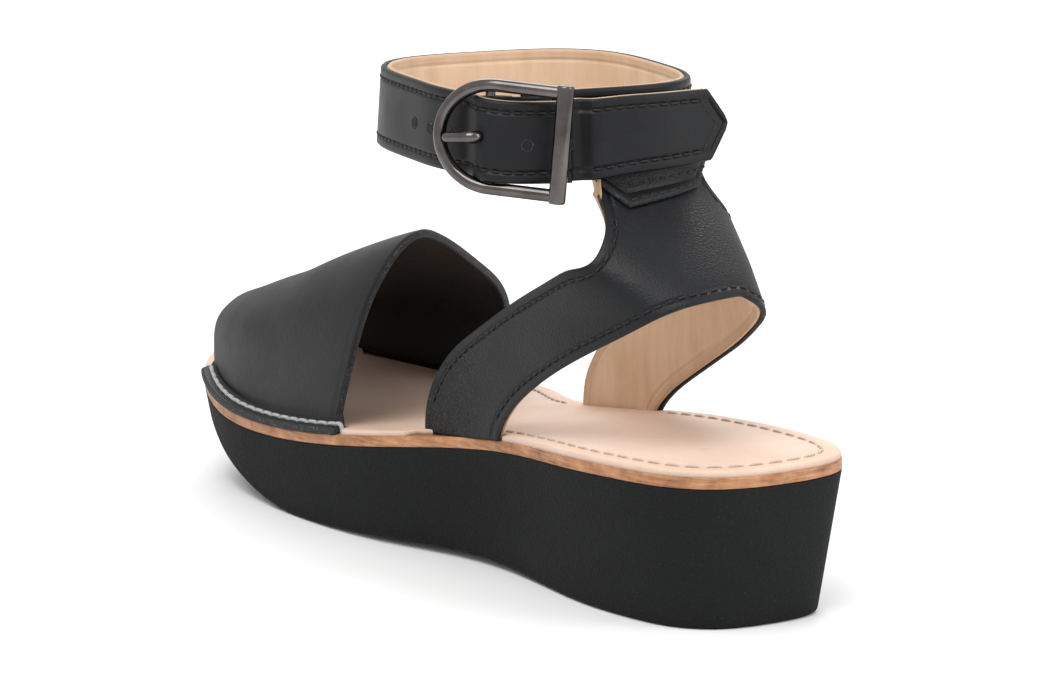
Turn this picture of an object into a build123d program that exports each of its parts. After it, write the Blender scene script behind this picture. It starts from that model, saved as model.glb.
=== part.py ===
from build123d import *
import math
import os

os.makedirs("parts", exist_ok=True)

# A left platform wedge sandal. +X runs from heel to toe, +Y to the outer side of the foot and +Z up.
# The origin is at the middle of the sole's length and of the sandal's width, on the floor.
# All lengths are in millimetres and all angles in degrees.

# ---- driving dimensions ----
sole_length = 250.0
outsole_thickness = 2.5
board_thickness = 3.0
cover_thickness = 1.5
cover_inset = 0.3
leather = 1.4
lining = 1.1
skin_gap = 0.1
vamp_leather = 2.2
flange_width = 4.5
flange_overhang = 0.8
strap_width = 20.9
stitch_inset = 2.8
side_shift = -1.97

# Outline of the footbed: distance from mid-length, outer half-width, inner half-width.
outline = (
    (-120.0, 18.0, 21.4),
    (-110.0, 26.8, 26.2),
    (-95.0, 30.9, 27.8),
    (-75.0, 32.3, 27.8),
    (-50.0, 29.8, 26.5),
    (-20.0, 29.7, 23.8),
    (10.0, 37.4, 28.6),
    (35.0, 40.4, 39.4),
    (60.0, 40.1, 44.6),
    (85.0, 37.6, 40.9),
    (105.0, 31.5, 31.3),
    (117.5, 23.9, 19.8),
)
heel_tip = (-0.5 * sole_length, 0.0)
toe_tip = (0.5 * sole_length - 0.9, -6.0)

# Height of the wedge's top face along the sole, and lean of its side wall.
seat_profile = ((-125.0, 38.1), (-62.5, 35.9), (0.0, 28.4), (55.0, 21.5), (125.0, 28.7))
wall_lean = ((-125.0, 0.17), (-95.0, 0.14), (0.0, 0.11), (60.0, 0.11), (125.0, 0.22))
wall_top = 46.0

# Underside: flat heel, low arch at the waist, tread line at the ball and a rising toe.
arch_start = -65.0
arch_end = 50.0
arch_rise = 2.1
toe_rise = 23.0
toe_exponent = 1.7
profile_reach = 135.0

# Cutting shapes reach this far, beyond the sandal on every side.
cut_width = 80.0
cut_height = 120.0
cut_length = 130.0
cut_depth = 9.0


def interpolate(table, x, column=1):
    """Straight-line value of a table's column at x."""
    if x <= table[0][0]:
        return table[0][column]
    for low, high in zip(table, table[1:]):
        if x <= high[0]:
            share = (x - low[0]) / (high[0] - low[0])
            return low[column] + share * (high[column] - low[column])
    return table[-1][column]


def seat_height(x):
    """Height of the wedge's top face: one smooth polynomial through its five stations."""
    total = 0.0
    for i, (xi, zi) in enumerate(seat_profile):
        weight = zi
        for j, (xj, _) in enumerate(seat_profile):
            if j != i:
                weight *= (x - xj) / (xi - xj)
        total += weight
    return total


def underside_height(x):
    """Height of the tread above the floor."""
    if x <= arch_start:
        return 0.0
    if x < arch_end:
        share = (x - arch_start) / (arch_end - arch_start)
        return arch_rise * math.sin(math.pi * share) ** 2
    share = (x - arch_end) / (0.5 * sole_length - arch_end)
    return toe_rise * share ** toe_exponent


def outline_points(inset):
    """Closed outline, moved inward along its own normals by inset(x)."""
    outer = [(x, out) for x, out, _ in outline]
    inner = [(x, -inn) for x, _, inn in reversed(outline)]
    ring = [heel_tip] + outer + [toe_tip] + inner
    moved = []
    for i, (x, y) in enumerate(ring):
        before = ring[i - 1]
        after = ring[(i + 1) % len(ring)]
        dx = after[0] - before[0]
        dy = after[1] - before[1]
        length = math.hypot(dx, dy)
        amount = inset(x)
        moved.append((x + amount * dy / length, y + side_shift - amount * dx / length))
    return moved


def wall_points(height):
    """Sole outline on the level at height: the wall leans inward on its way down."""
    return outline_points(lambda x: interpolate(wall_lean, x) * (seat_height(x) - height))


def closed_spline(points):
    return Spline(*points, periodic=True)


def profile_stations(start, end, count):
    return [start + (end - start) * i / (count - 1) for i in range(count)]


def side_band(low, high, start=-profile_reach, end=profile_reach, count=25):
    """Closed side-view strip between two height functions."""
    stations = profile_stations(start, end, count)
    lower = [(x, low(x)) for x in stations]
    upper = [(x, high(x)) for x in reversed(stations)]
    Spline(*lower)
    Line(lower[-1], upper[0])
    Spline(*upper)
    Line(upper[-1], lower[0])


# ---- sole ----
with BuildPart() as outsole:
    for level in (0.0, wall_top):
        with BuildSketch(Plane.XY.offset(level)):
            with BuildLine():
                closed_spline(wall_points(level))
            make_face()
    loft(ruled=True)
    with BuildSketch(Plane.XZ):
        with BuildLine():
            side_band(lambda x: underside_height(x), lambda x: underside_height(x) + outsole_thickness)
        make_face()
    extrude(amount=cut_width, both=True, mode=Mode.INTERSECT)
outsole.part.label = "outsole"
export_step(outsole.part, "parts/outsole.step")

with BuildPart() as wedge_midsole:
    for level in (0.0, wall_top):
        with BuildSketch(Plane.XY.offset(level)):
            with BuildLine():
                closed_spline(wall_points(level))
            make_face()
    loft(ruled=True)
    with BuildSketch(Plane.XZ):
        with BuildLine():
            side_band(lambda x: underside_height(x) + outsole_thickness, seat_height)
        make_face()
    extrude(amount=cut_width, both=True, mode=Mode.INTERSECT)
wedge_midsole.part.label = "wedge_midsole"
export_step(wedge_midsole.part, "parts/wedge_midsole.step")

with BuildPart() as insole_board:
    with BuildSketch():
        with BuildLine():
            closed_spline(outline_points(lambda x: 0.0))
        make_face()
    extrude(amount=cut_height)
    with BuildSketch(Plane.XZ):
        with BuildLine():
            side_band(seat_height, lambda x: seat_height(x) + board_thickness)
        make_face()
    extrude(amount=cut_width, both=True, mode=Mode.INTERSECT)
insole_board.part.label = "insole_board"
export_step(insole_board.part, "parts/insole_board.step")

# ---- heel strap and ankle strap shapes shared by several pieces ----
strap_foot_outer = 29.3
strap_foot_inner = 23.9
strap_foot_rear = -38.0
strap_foot_front = -3.5
strap_layers = leather + skin_gap + lining

# The ankle strap's loop is a rounded rectangle in plan, on a slightly tilted plane.
ring_centre = (-19.0, 4.0 + side_shift, 119.3)
ring_half_length = 42.0
ring_half_width = 36.0
ring_squareness = 3.2
ring_turn = -12.5
ring_plane = Plane(origin=ring_centre, x_dir=(1, 0, -0.033), z_dir=(0.033, -0.018, 1))
strap_flare = 1.35


def ring_plan(angle, grow, height):
    """Point on the loop in its own plane: grow is the distance outside the strap's outer face."""
    local = math.radians(angle - ring_turn)
    spread = grow + strap_flare * (0.5 - height / strap_width)
    along = abs(math.cos(local)) / (ring_half_length + spread)
    across = abs(math.sin(local)) / (ring_half_width + spread)
    radius = (along ** ring_squareness + across ** ring_squareness) ** (-1 / ring_squareness)
    return (radius * math.cos(math.radians(angle)), radius * math.sin(math.radians(angle)))


# The heel strap's outer face: a U in plan at each level, which meets the ankle loop at the top.
u_half_width = 0.5 * (strap_foot_outer + strap_foot_inner)
u_centre = 0.5 * (strap_foot_outer - strap_foot_inner) + side_shift
u_length = 64.0
u_squareness = 0.85
u_angles = (75, 55, 36, 18, 0, -18, -36, -55, -75)
u_leg_stations = (8.0, -5.0, -18.0, -31.0, -44.0)
loop_angles = (35, 49, 63, 77, 91, 107, 124, 142, 160, 178, 196, 214, 230, 247, 264, 278, 292, 306, 320)
tower_growth = 2.75
# Level, distance of the back of the U, share of the ankle loop's shape, lean factor on thickness.
heel_levels = ((18.0, -108.0, 0.0, 1.0), (76.0, -107.5, 0.0, 1.1), (84.0, -107.5, 0.18, 1.4),
               (92.0, -107.5, 0.47, 1.5))
# Distance from the ankle loop's middle plane, lean factor on thickness.
tower_levels = ((-15.0, 1.15), (-10.8, 1.0), (8.0, 1.0))


def u_points(back, depth):
    """Open U: depth is the distance inside the outer face."""
    length = u_length - depth
    width = u_half_width - min(depth, strap_layers)
    centre = back + u_length
    points = [(x, u_centre + width) for x in u_leg_stations]
    for angle in u_angles:
        x = centre - length * math.cos(math.radians(angle)) ** u_squareness
        lift = abs(math.sin(math.radians(angle))) ** u_squareness
        points.append((x, u_centre + math.copysign(width * lift, angle)))
    return points + [(x, u_centre - width) for x in reversed(u_leg_stations)]


def loop_points(depth, height):
    """The ankle loop's plan as seen by the heel strap, in the loop's own plane."""
    return [ring_plan(angle, tower_growth - depth, height) for angle in loop_angles]


def heel_level_points(level, back, share, depth):
    low = u_points(back, depth)
    if share == 0.0:
        return low
    high = [ring_plane.from_local_coords((x, y, -15.0)) for x, y in loop_points(depth, -15.0)]
    return [(a[0] + share * (b.X - a[0]), a[1] + share * (b.Y - a[1])) for a, b in zip(low, high)]


def crescent(outside, inside):
    Spline(*outside)
    Line(outside[-1], inside[-1])
    Spline(*reversed(inside))
    Line(inside[0], outside[0])


def heel_sections(near, far):
    """Closed sections of a shell between two depths inside the heel strap's outer face."""
    sections = []
    for level, back, share, lean in heel_levels:
        with BuildSketch(Plane.XY.offset(level)) as section:
            with BuildLine():
                crescent(heel_level_points(level, back, share, near * lean),
                         heel_level_points(level, back, share, far * lean))
            make_face()
        sections.append(section.sketch)
    for height, lean in tower_levels:
        with BuildSketch(ring_plane.offset(height)) as section:
            with BuildLine():
                crescent(loop_points(near * lean, height), loop_points(far * lean, height))
            make_face()
        sections.append(section.sketch)
    return sections


# Side view of the heel strap: front edge from the foot up, then the lower edge of each side back down.
front_edge = ((-3.5, 30.0), (-4.0, 40.0), (-7.5, 47.0), (-15.0, 55.5), (-29.0, 65.0), (-48.0, 76.0),
              (-63.0, 83.0), (-76.0, 89.5))
tower_top = 124.0
tower_front = -45.0
outer_rear_edge = ((-125.0, 88.0), (-105.0, 85.0), (-99.5, 80.5), (-88.5, 73.0), (-77.5, 67.0), (-66.0, 60.8),
                   (-54.0, 53.5), (-43.0, 45.0), (-38.0, 37.5), (-37.0, 30.0))
inner_rear_edge = ((-125.0, 88.0), (-105.0, 85.0), (-99.5, 77.8), (-88.5, 70.0), (-77.5, 63.4), (-66.0, 57.0),
                   (-54.0, 50.0), (-43.0, 42.8), (-37.5, 36.5), (-36.0, 30.0))


def heel_strap_profile(rear_edge):
    """Closed side view: the feet stand on the insole board."""
    Spline(*front_edge)
    Polyline(front_edge[-1], (tower_front, 95.0), (tower_front, tower_top), (-125.0, tower_top), rear_edge[0])
    Spline(*rear_edge)
    Line(rear_edge[-1], front_edge[0])


# Rear view of the tower's two edges, as distances from its middle line.
tower_middle = -1.0 + side_shift
tower_edge = ((45.0, 87.5), (27.0, 88.5), (23.0, 91.0), (20.0, 95.0), (18.0, 99.0), (16.5, 103.0),
              (16.0, 109.0), (16.0, 124.0))


def tower_profile():
    """Closed rear view: wide at the straps, narrow up the tower."""
    outer = [(tower_middle + y, z) for y, z in tower_edge]
    inner = [(tower_middle - y, z) for y, z in reversed(tower_edge)]
    Polyline((tower_middle + 45.0, 0.0), outer[0])
    Spline(*outer)
    Line(outer[-1], inner[0])
    Spline(*inner)
    Polyline(inner[-1], (tower_middle - 45.0, 0.0), (tower_middle + 45.0, 0.0))


# Everything the heel strap may fill: its side view on each side, its rear view, and above the board.
with BuildPart() as heel_envelope:
    for rear_edge, reach in ((outer_rear_edge, -80), (inner_rear_edge, 80)):
        with BuildSketch(Plane.XZ):
            with BuildLine():
                heel_strap_profile(rear_edge)
            make_face()
        extrude(amount=reach)
    with BuildSketch(Plane.XZ):
        with BuildLine():
            side_band(lambda x: 0.0 * x, lambda x: seat_height(x) + board_thickness)
        make_face()
    extrude(amount=cut_width, both=True, mode=Mode.SUBTRACT)
    with BuildSketch(Plane.YZ):
        with BuildLine():
            tower_profile()
        make_face()
    extrude(amount=cut_length, both=True, mode=Mode.INTERSECT)

with BuildPart() as heel_strap:
    loft(sections=heel_sections(0.0, leather), ruled=True)
    add(heel_envelope.part, mode=Mode.INTERSECT)
heel_strap.part.label = "heel_strap"
export_step(heel_strap.part, "parts/heel_strap.step")

with BuildPart() as heel_strap_lining:
    loft(sections=heel_sections(leather + skin_gap, strap_layers), ruled=True)
    add(heel_envelope.part, mode=Mode.INTERSECT)
heel_strap_lining.part.label = "heel_strap_lining"
export_step(heel_strap_lining.part, "parts/heel_strap_lining.step")

# The tab covers the join of tower and ankle strap.
tab_bottom = 102.8
tab_top = 121.0
tab_lower_half = 12.5
tab_upper_half = 17.5
tab_shoulder = 108.5

with BuildPart() as heel_tab:
    loft(sections=heel_sections(-skin_gap - leather, -skin_gap), ruled=True)
    with BuildSketch(Plane.YZ):
        with BuildLine():
            Polyline((tower_middle - tab_lower_half, tab_bottom), (tower_middle + tab_lower_half, tab_bottom),
                     (tower_middle + tab_upper_half, tab_shoulder), (tower_middle + tab_upper_half, tab_top),
                     (tower_middle - tab_upper_half, tab_top), (tower_middle - tab_upper_half, tab_shoulder),
                     close=True)
        make_face()
    extrude(amount=-cut_length, mode=Mode.INTERSECT)
heel_tab.part.label = "heel_tab"
export_step(heel_tab.part, "parts/heel_tab.step")

# ---- ankle strap ----
# The strap starts at the buckle bar, runs back round the heel and the front of the ankle, rises over the
# bar, passes under the frame's straight end and ends as the free tail.
bar_angle = 131.0
degree_arc = 0.79
frame_long = 21.0
strap_start_angle = bar_angle + 8.0 / degree_arc
tail_root_angle = bar_angle + 29.5
tail_straight_angle = 190.0
tail_tip_angle = 210.5
# Angle (one full turn added on the second lap) and growth of the strap's outer face. The strap dives from the
# bar to pass under the round end of the frame.
lap_angle = 360.0 + bar_angle
strap_lift = ((strap_start_angle, 0.0), (lap_angle - 11.0, 0.0), (lap_angle - 8.6, 0.0),
              (lap_angle - 6.0, 0.4), (lap_angle - 3.0, 3.4), (lap_angle, 4.9), (lap_angle + 6.0, 4.9),
              (lap_angle + 16.0, 4.5), (lap_angle + 24.0, 4.2), (360.0 + tail_root_angle, 4.2))
tail_lift = ((tail_root_angle, 4.2), (tail_root_angle + 1.6, 5.9), (tail_root_angle + 3.2, 7.2),
             (tail_straight_angle, 7.7), (tail_tip_angle, 7.7))
# Angle and how far the strap hangs below the loop's middle plane.
strap_drop = ((tail_root_angle, 1.8), (tail_root_angle + 15.0, 1.3), (tail_tip_angle, 1.2))
lap_drop = ((lap_angle - 40.0, 0.0), (lap_angle - 20.0, 0.3), (lap_angle - 3.0, 0.55),
            (lap_angle + 5.0, 1.1), (lap_angle + 26.0, 2.0), (360.0 + tail_root_angle, 1.8))
hole_radius = 1.3
prong_slot_length = 8.0
prong_slot_width = 4.4
hole_pitch = 10.0
strap_half = 0.5 * strap_width


def angle_steps(start, end, step=8.0):
    count = max(2, round((end - start) / step) + 1)
    return [start + (end - start) * i / (count - 1) for i in range(count)]


def tail_plan(angle, grow, height):
    """Like ring_plan, but the strap runs on straight past tail_straight_angle."""
    if angle <= tail_straight_angle:
        return ring_plan(angle, grow, height)
    x0, y0 = ring_plan(tail_straight_angle, grow, height)
    x1, y1 = ring_plan(tail_straight_angle - 1.0, grow, height)
    length = math.hypot(x0 - x1, y0 - y1)
    run = (angle - tail_straight_angle) * degree_arc
    return (x0 + run * (x0 - x1) / length, y0 + run * (y0 - y1) / length)


def strap_frame(angle, grow, height=0.0, place=ring_plan):
    """Local plane on the strap: x along it, y up its flared face, z outward."""
    def on_strap(turn, rise):
        x, y = place(angle + turn, grow, height + rise)
        return ring_plane.from_local_coords((x, y, height + rise))

    along = on_strap(0.5, 0.0) - on_strap(-0.5, 0.0)
    upward = on_strap(0.0, 1.0) - on_strap(0.0, -1.0)
    return Plane(origin=on_strap(0.0, 0.0), x_dir=along, z_dir=along.cross(upward))


def strap_ribs(angles, lift, drop, near, far, place=ring_plan):
    """Cross-sections of a strap layer between two depths inside its outer face."""
    ribs = []
    for angle in angles:
        frame = strap_frame(angle, interpolate(lift, angle), -interpolate(drop, angle), place)
        with BuildSketch(Plane(origin=frame.origin, x_dir=frame.z_dir, z_dir=-frame.x_dir)) as rib:
            with Locations((-0.5 * (near + far), 0.0)):
                Rectangle(far - near, strap_width)
        ribs.append(rib.sketch)
    return ribs


rib_angles = angle_steps(strap_start_angle, lap_angle - 11.0)
rib_angles += [angle for angle, _ in strap_lift[2:7]]
rib_angles += angle_steps(lap_angle + 11.0, 360.0 + tail_root_angle, 5.0)
hole_angles = [360.0 + bar_angle + i * hole_pitch / degree_arc for i in (-4, -3, -2, -1, 1, 2)]
hole_planes = [strap_frame(angle, 3.0, -interpolate(lap_drop, angle)) for angle in hole_angles]
prong_plane = strap_frame(lap_angle - 1.0, 3.0, -1.0)

with BuildPart() as ankle_strap:
    loft(sections=strap_ribs(rib_angles, strap_lift, lap_drop, 0.0, leather), ruled=True)
    with BuildSketch(*hole_planes):
        Circle(hole_radius)
    extrude(amount=cut_depth, both=True, mode=Mode.SUBTRACT)
    with BuildSketch(prong_plane):
        SlotOverall(prong_slot_length, prong_slot_width)
    extrude(amount=cut_depth, both=True, mode=Mode.SUBTRACT)
ankle_strap.part.label = "ankle_strap"
export_step(ankle_strap.part, "parts/ankle_strap.step")

with BuildPart() as ankle_strap_lining:
    loft(sections=strap_ribs(rib_angles, strap_lift, lap_drop, leather + skin_gap, strap_layers), ruled=True)
    with BuildSketch(*hole_planes):
        Circle(hole_radius)
    extrude(amount=cut_depth, both=True, mode=Mode.SUBTRACT)
    with BuildSketch(prong_plane):
        SlotOverall(prong_slot_length, prong_slot_width)
    extrude(amount=cut_depth, both=True, mode=Mode.SUBTRACT)
ankle_strap_lining.part.label = "ankle_strap_lining"
export_step(ankle_strap_lining.part, "parts/ankle_strap_lining.step")

# The free tail ends in a blunt point.
tail_angles = [tail_root_angle + 0.8, tail_root_angle + 1.6, tail_root_angle + 3.2]
tail_angles += angle_steps(tail_root_angle + 7.0, tail_tip_angle, 4.0)
tip_plane = strap_frame(tail_tip_angle, 5.0, -strap_drop[-1][1], tail_plan)
tip_length = 8.0


def tip_corner(side):
    """Everything outside one slanting edge of the tail's point."""
    return Polygon((0, 0), (4, 0), (4, side * 14), (-tip_length, side * 14),
                   (-tip_length, side * strap_half), align=None)


with BuildPart() as strap_tail:
    loft(sections=strap_ribs(tail_angles, tail_lift, strap_drop, 0.0, leather, tail_plan), ruled=True)
    for side in (1, -1):
        with BuildSketch(tip_plane):
            tip_corner(side)
        extrude(amount=cut_depth, both=True, mode=Mode.SUBTRACT)
strap_tail.part.label = "strap_tail"
export_step(strap_tail.part, "parts/strap_tail.step")

with BuildPart() as strap_tail_lining:
    loft(sections=strap_ribs(tail_angles, tail_lift, strap_drop, leather + skin_gap, strap_layers, tail_plan),
         ruled=True)
    for side in (1, -1):
        with BuildSketch(tip_plane):
            tip_corner(side)
        extrude(amount=cut_depth, both=True, mode=Mode.SUBTRACT)
strap_tail_lining.part.label = "strap_tail_lining"
export_step(strap_tail_lining.part, "parts/strap_tail_lining.step")

# ---- buckle ----
bar_radius = 1.3
bar_growth = -0.8
wire_radius = 1.7
end_bar_radius = 2.25
end_bar_rim = 0.3
post_radius = 1.15
rail_half = 13.2
frame_round = 12.8
frame_shoulder = 2.0
frame_drop = 0.8
frame_lift = 3.4
frame_tilt = 4.2
frame_sag = 4.0
chape_half = 9.3
loop_clearance = 0.3
chape_leather = 1.25
prong_radius = 1.55
prong_width = 3.2

bar_plane = strap_frame(bar_angle, bar_growth)
hook_plane = Plane(origin=bar_plane.origin, x_dir=bar_plane.x_dir, z_dir=-bar_plane.y_dir)


def strap_point(angle, grow):
    """Ring point seen in the chape's cross-section: along the strap, outward."""
    x, y = ring_plan(angle, grow, 0.0)
    local = bar_plane.to_local_coords(ring_plane.from_local_coords((x, y, 0.0)))
    return (local.X, local.Z)


chape_inner = bar_radius + loop_clearance
chape_outer = chape_inner + chape_leather

with BuildPart() as buckle_chape:
    with BuildSketch(hook_plane):
        with BuildLine():
            outside = [strap_point(bar_angle + a, skin_gap + chape_leather) for a in (20.0, 17.0, 14.0, 12.0)]
            inside = [strap_point(bar_angle + a, skin_gap) for a in (12.0, 14.0, 17.0, 20.0)]
            Spline(*outside, (3.0, chape_outer - 0.2), (0.0, chape_outer), (-chape_outer, 0.0),
                   (0.0, -chape_outer), (5.0, -chape_outer + 0.1))
            Line((5.0, -chape_outer + 0.1), (5.0, -chape_inner + 0.1))
            Spline((5.0, -chape_inner + 0.1), (0.0, -chape_inner), (-chape_inner, 0.0), (0.0, chape_inner),
                   (3.0, chape_inner - 0.2), *inside)
            Line(inside[-1], outside[0])
        make_face()
    extrude(amount=chape_half, both=True)
    with BuildSketch(bar_plane):
        Rectangle(12.0, 6.0, align=(Align.CENTER, Align.CENTER))
    extrude(amount=6, both=True, mode=Mode.SUBTRACT)
buckle_chape.part.label = "buckle_chape"
export_step(buckle_chape.part, "parts/buckle_chape.step")

sin_tilt = math.sin(math.radians(frame_tilt))
sin_sag = math.sin(math.radians(frame_sag))
# The frame stands outward of its centre bar, which is cranked in to leave room for the strap.
buckle_plane = Plane(
    origin=bar_plane.origin - bar_plane.y_dir * frame_drop + bar_plane.z_dir * frame_lift,
    x_dir=bar_plane.x_dir + bar_plane.z_dir * sin_tilt - bar_plane.y_dir * sin_sag,
    z_dir=bar_plane.z_dir - bar_plane.x_dir * sin_tilt,
)

with BuildPart() as buckle_frame:
    with BuildLine(buckle_plane):
        rail_top = Line((frame_long, rail_half), (frame_shoulder, rail_half))
        EllipticalCenterArc((frame_shoulder, 0), frame_shoulder + frame_round, rail_half, 90, arc_size=180)
        Line((frame_shoulder, -rail_half), (frame_long, -rail_half))
    with BuildSketch(Plane(origin=rail_top @ 0, z_dir=rail_top % 0)):
        Circle(wire_radius)
    sweep()
    with Locations(buckle_plane.location * Location((frame_long, 0, 0), (90, 0, 0))):
        Cylinder(end_bar_radius, 2 * (rail_half + wire_radius + end_bar_rim))
    bar_middle = bar_plane.origin - bar_plane.y_dir * frame_drop
    with Locations(Plane(origin=bar_middle, z_dir=bar_plane.y_dir).location):
        Cylinder(bar_radius, 2 * rail_half + 2 * bar_radius)
    for side in (1, -1):
        with Locations(Plane(origin=bar_middle + bar_plane.y_dir * rail_half * side,
                             z_dir=bar_plane.z_dir).location):
            Cylinder(post_radius, frame_lift, align=(Align.CENTER, Align.CENTER, Align.MIN))
buckle_frame.part.label = "buckle_frame"
export_step(buckle_frame.part, "parts/buckle_frame.step")

prong_root = (-0.8, 2.0)
prong_bend = (-1.6, 7.4)
prong_tip = (-10.8, 5.5)
prong_skew = 0.06
prong_side = Plane(origin=bar_plane.origin - bar_plane.y_dir * frame_drop,
                   x_dir=bar_plane.x_dir + bar_plane.y_dir * prong_skew,
                   z_dir=bar_plane.x_dir * prong_skew - bar_plane.y_dir)
with BuildPart() as buckle_prong:
    with BuildSketch(prong_side):
        Circle(chape_outer)
        Circle(chape_inner, mode=Mode.SUBTRACT)
    extrude(amount=0.5 * prong_width, both=True)
    for start, end in ((prong_root, prong_bend), (prong_bend, prong_tip)):
        run = (end[0] - start[0], end[1] - start[1])
        rod = Plane(origin=prong_side.from_local_coords((start[0], start[1], 0.0)),
                    z_dir=prong_side.x_dir * run[0] + prong_side.y_dir * run[1])
        with BuildSketch(rod):
            Circle(prong_radius)
        extrude(amount=math.hypot(*run))
        with Locations(prong_side.from_local_coords((end[0], end[1], 0.0))):
            Sphere(prong_radius)
    with BuildSketch(prong_side):
        Circle(chape_inner)
    extrude(amount=4, both=True, mode=Mode.SUBTRACT)
buckle_prong.part.label = "buckle_prong"
export_step(buckle_prong.part, "parts/buckle_prong.step")

# ---- vamp ----
# The vamp is one arched panel. Its feet turn outward into a flange that is stitched to the insole board.
vamp_wall_inset = flange_width - flange_overhang
vamp_stations = (8.0, 30.0, 55.0, 80.0, 102.0, 121.0)
ridge = ((8.0, 85.5, 15.0), (30.0, 79.0, 13.5), (55.0, 70.2, 11.5), (80.0, 61.0, 9.5), (102.0, 53.5, 7.0),
         (121.0, 47.5, 5.0))
# Arch shape from foot to ridge: share of the half-width, share of the height.
outer_arch = ((1.0, 0.0), (1.02, 0.18), (1.02, 0.36), (1.0, 0.55), (0.92, 0.70), (0.76, 0.82), (0.54, 0.92),
              (0.27, 0.98))
inner_arch = ((0.0, 1.0), (0.17, 0.975), (0.36, 0.915), (0.61, 0.805), (0.84, 0.665), (0.96, 0.5),
              (1.0, 0.30), (1.0, 0.14), (1.0, 0.0))
# The rear edge lies in this plane and the front edge follows this arc in plan.
rear_cut = Plane(origin=(55.3, 0, 0), z_dir=(1, 0.427, 0.37))
flange_rear_step = 3.0
front_outer = (106.0, 42.0)
front_middle = (115.5, 2.0)
front_inner = (111.5, -42.0)


def vamp_section(x, shrink, foot):
    """Arch section at x, moved inward by shrink, standing on the height foot."""
    base = seat_height(x) + board_thickness
    top, middle = interpolate(ridge, x) - shrink, interpolate(ridge, x, 2)
    outer = interpolate(outline, x) - vamp_wall_inset - shrink - middle
    inner = interpolate(outline, x, 2) - vamp_wall_inset - shrink + middle
    arch = [(middle + outer * share, base + (top - base) * rise) for share, rise in outer_arch]
    arch += [(middle - inner * share, base + (top - base) * rise) for share, rise in inner_arch]
    arch = [(y + side_shift, z) for y, z in arch]
    Line((arch[0][0], foot), arch[0])
    Spline(*arch)
    Polyline(arch[-1], (arch[-1][0], foot), (arch[0][0], foot))


def vamp_sections(shrink, foot):
    faces = []
    for x in vamp_stations:
        with BuildSketch(Plane.YZ.offset(x)) as section:
            with BuildLine():
                vamp_section(x, shrink, foot)
            make_face()
        faces.append(section.sketch)
    return faces


def front_region():
    """Plan of everything ahead of the vamp's front edge."""
    ThreePointArc(front_outer, front_middle, front_inner)
    Polyline(front_inner, (140.0, -60.0), (140.0, 60.0), front_outer)


with BuildPart() as vamp_panel:
    loft(sections=vamp_sections(0.0, 10.0))
    loft(sections=vamp_sections(vamp_leather, 8.0), mode=Mode.SUBTRACT)
    with BuildSketch(Plane.XZ):
        with BuildLine():
            side_band(lambda x: 0.0 * x, lambda x: seat_height(x) + board_thickness)
        make_face()
    extrude(amount=cut_width, both=True, mode=Mode.SUBTRACT)
    with BuildSketch():
        with BuildLine():
            front_region()
        make_face()
    extrude(amount=cut_height, mode=Mode.SUBTRACT)
    split(bisect_by=rear_cut, keep=Keep.TOP)


# The flange and the recess it leaves in the footbed cover are both bands round the vamp's foot.
with BuildPart() as vamp_flange:
    with BuildSketch():
        with BuildLine():
            closed_spline(outline_points(lambda x: -flange_overhang))
        make_face()
        with BuildLine():
            closed_spline(outline_points(lambda x: vamp_wall_inset + 0.5 * vamp_leather))
        make_face(mode=Mode.SUBTRACT)
    extrude(amount=cut_height)
    with BuildSketch(Plane.XZ):
        with BuildLine():
            side_band(lambda x: seat_height(x) + board_thickness,
                      lambda x: seat_height(x) + board_thickness + vamp_leather)
        make_face()
    extrude(amount=cut_width, both=True, mode=Mode.INTERSECT)
    with BuildSketch():
        with BuildLine():
            front_region()
        make_face()
    extrude(amount=cut_height, mode=Mode.SUBTRACT)
    split(bisect_by=rear_cut.offset(-flange_rear_step), keep=Keep.TOP)

vamp = vamp_panel.part + vamp_flange.part
vamp.label = "vamp"
export_step(vamp, "parts/vamp.step")

# ---- footbed cover ----
# The cover lies inside the vamp's foot and is notched round the feet of the heel strap.
cover_margin = flange_width - flange_overhang + vamp_leather + 1.2
notch_rear = strap_foot_rear - 0.5
notch_front = strap_foot_front + 1.0
notch_outer = strap_foot_outer - strap_layers - 0.2
notch_inner = strap_foot_inner - strap_layers - 0.2

with BuildPart() as cover_recess:
    with BuildSketch():
        with BuildLine():
            closed_spline(outline_points(lambda x: -flange_width))
        make_face()
        with BuildLine():
            closed_spline(outline_points(lambda x: cover_margin))
        make_face(mode=Mode.SUBTRACT)
    extrude(amount=cut_height)
    with BuildSketch():
        with BuildLine():
            front_region()
        make_face()
    extrude(amount=cut_height, mode=Mode.SUBTRACT)
    split(bisect_by=rear_cut.offset(-flange_rear_step - 0.3), keep=Keep.TOP)

with BuildPart() as footbed_cover:
    with BuildSketch():
        with BuildLine():
            closed_spline(outline_points(lambda x: cover_inset))
        make_face()
    extrude(amount=cut_height)
    with BuildSketch(Plane.XZ):
        with BuildLine():
            side_band(lambda x: seat_height(x) + board_thickness,
                      lambda x: seat_height(x) + board_thickness + cover_thickness)
        make_face()
    extrude(amount=cut_width, both=True, mode=Mode.INTERSECT)
    add(cover_recess.part, mode=Mode.SUBTRACT)
    with BuildSketch():
        for edge, reach in ((notch_outer, 20.0), (-notch_inner, -20.0)):
            Polygon((notch_rear, edge + side_shift), (notch_front, edge + side_shift),
                    (notch_front, edge + reach + side_shift),
                    (notch_rear, edge + reach + side_shift), align=None)
    extrude(amount=cut_height, mode=Mode.SUBTRACT)
footbed_cover.part.label = "footbed_cover"
export_step(footbed_cover.part, "parts/footbed_cover.step")

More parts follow.
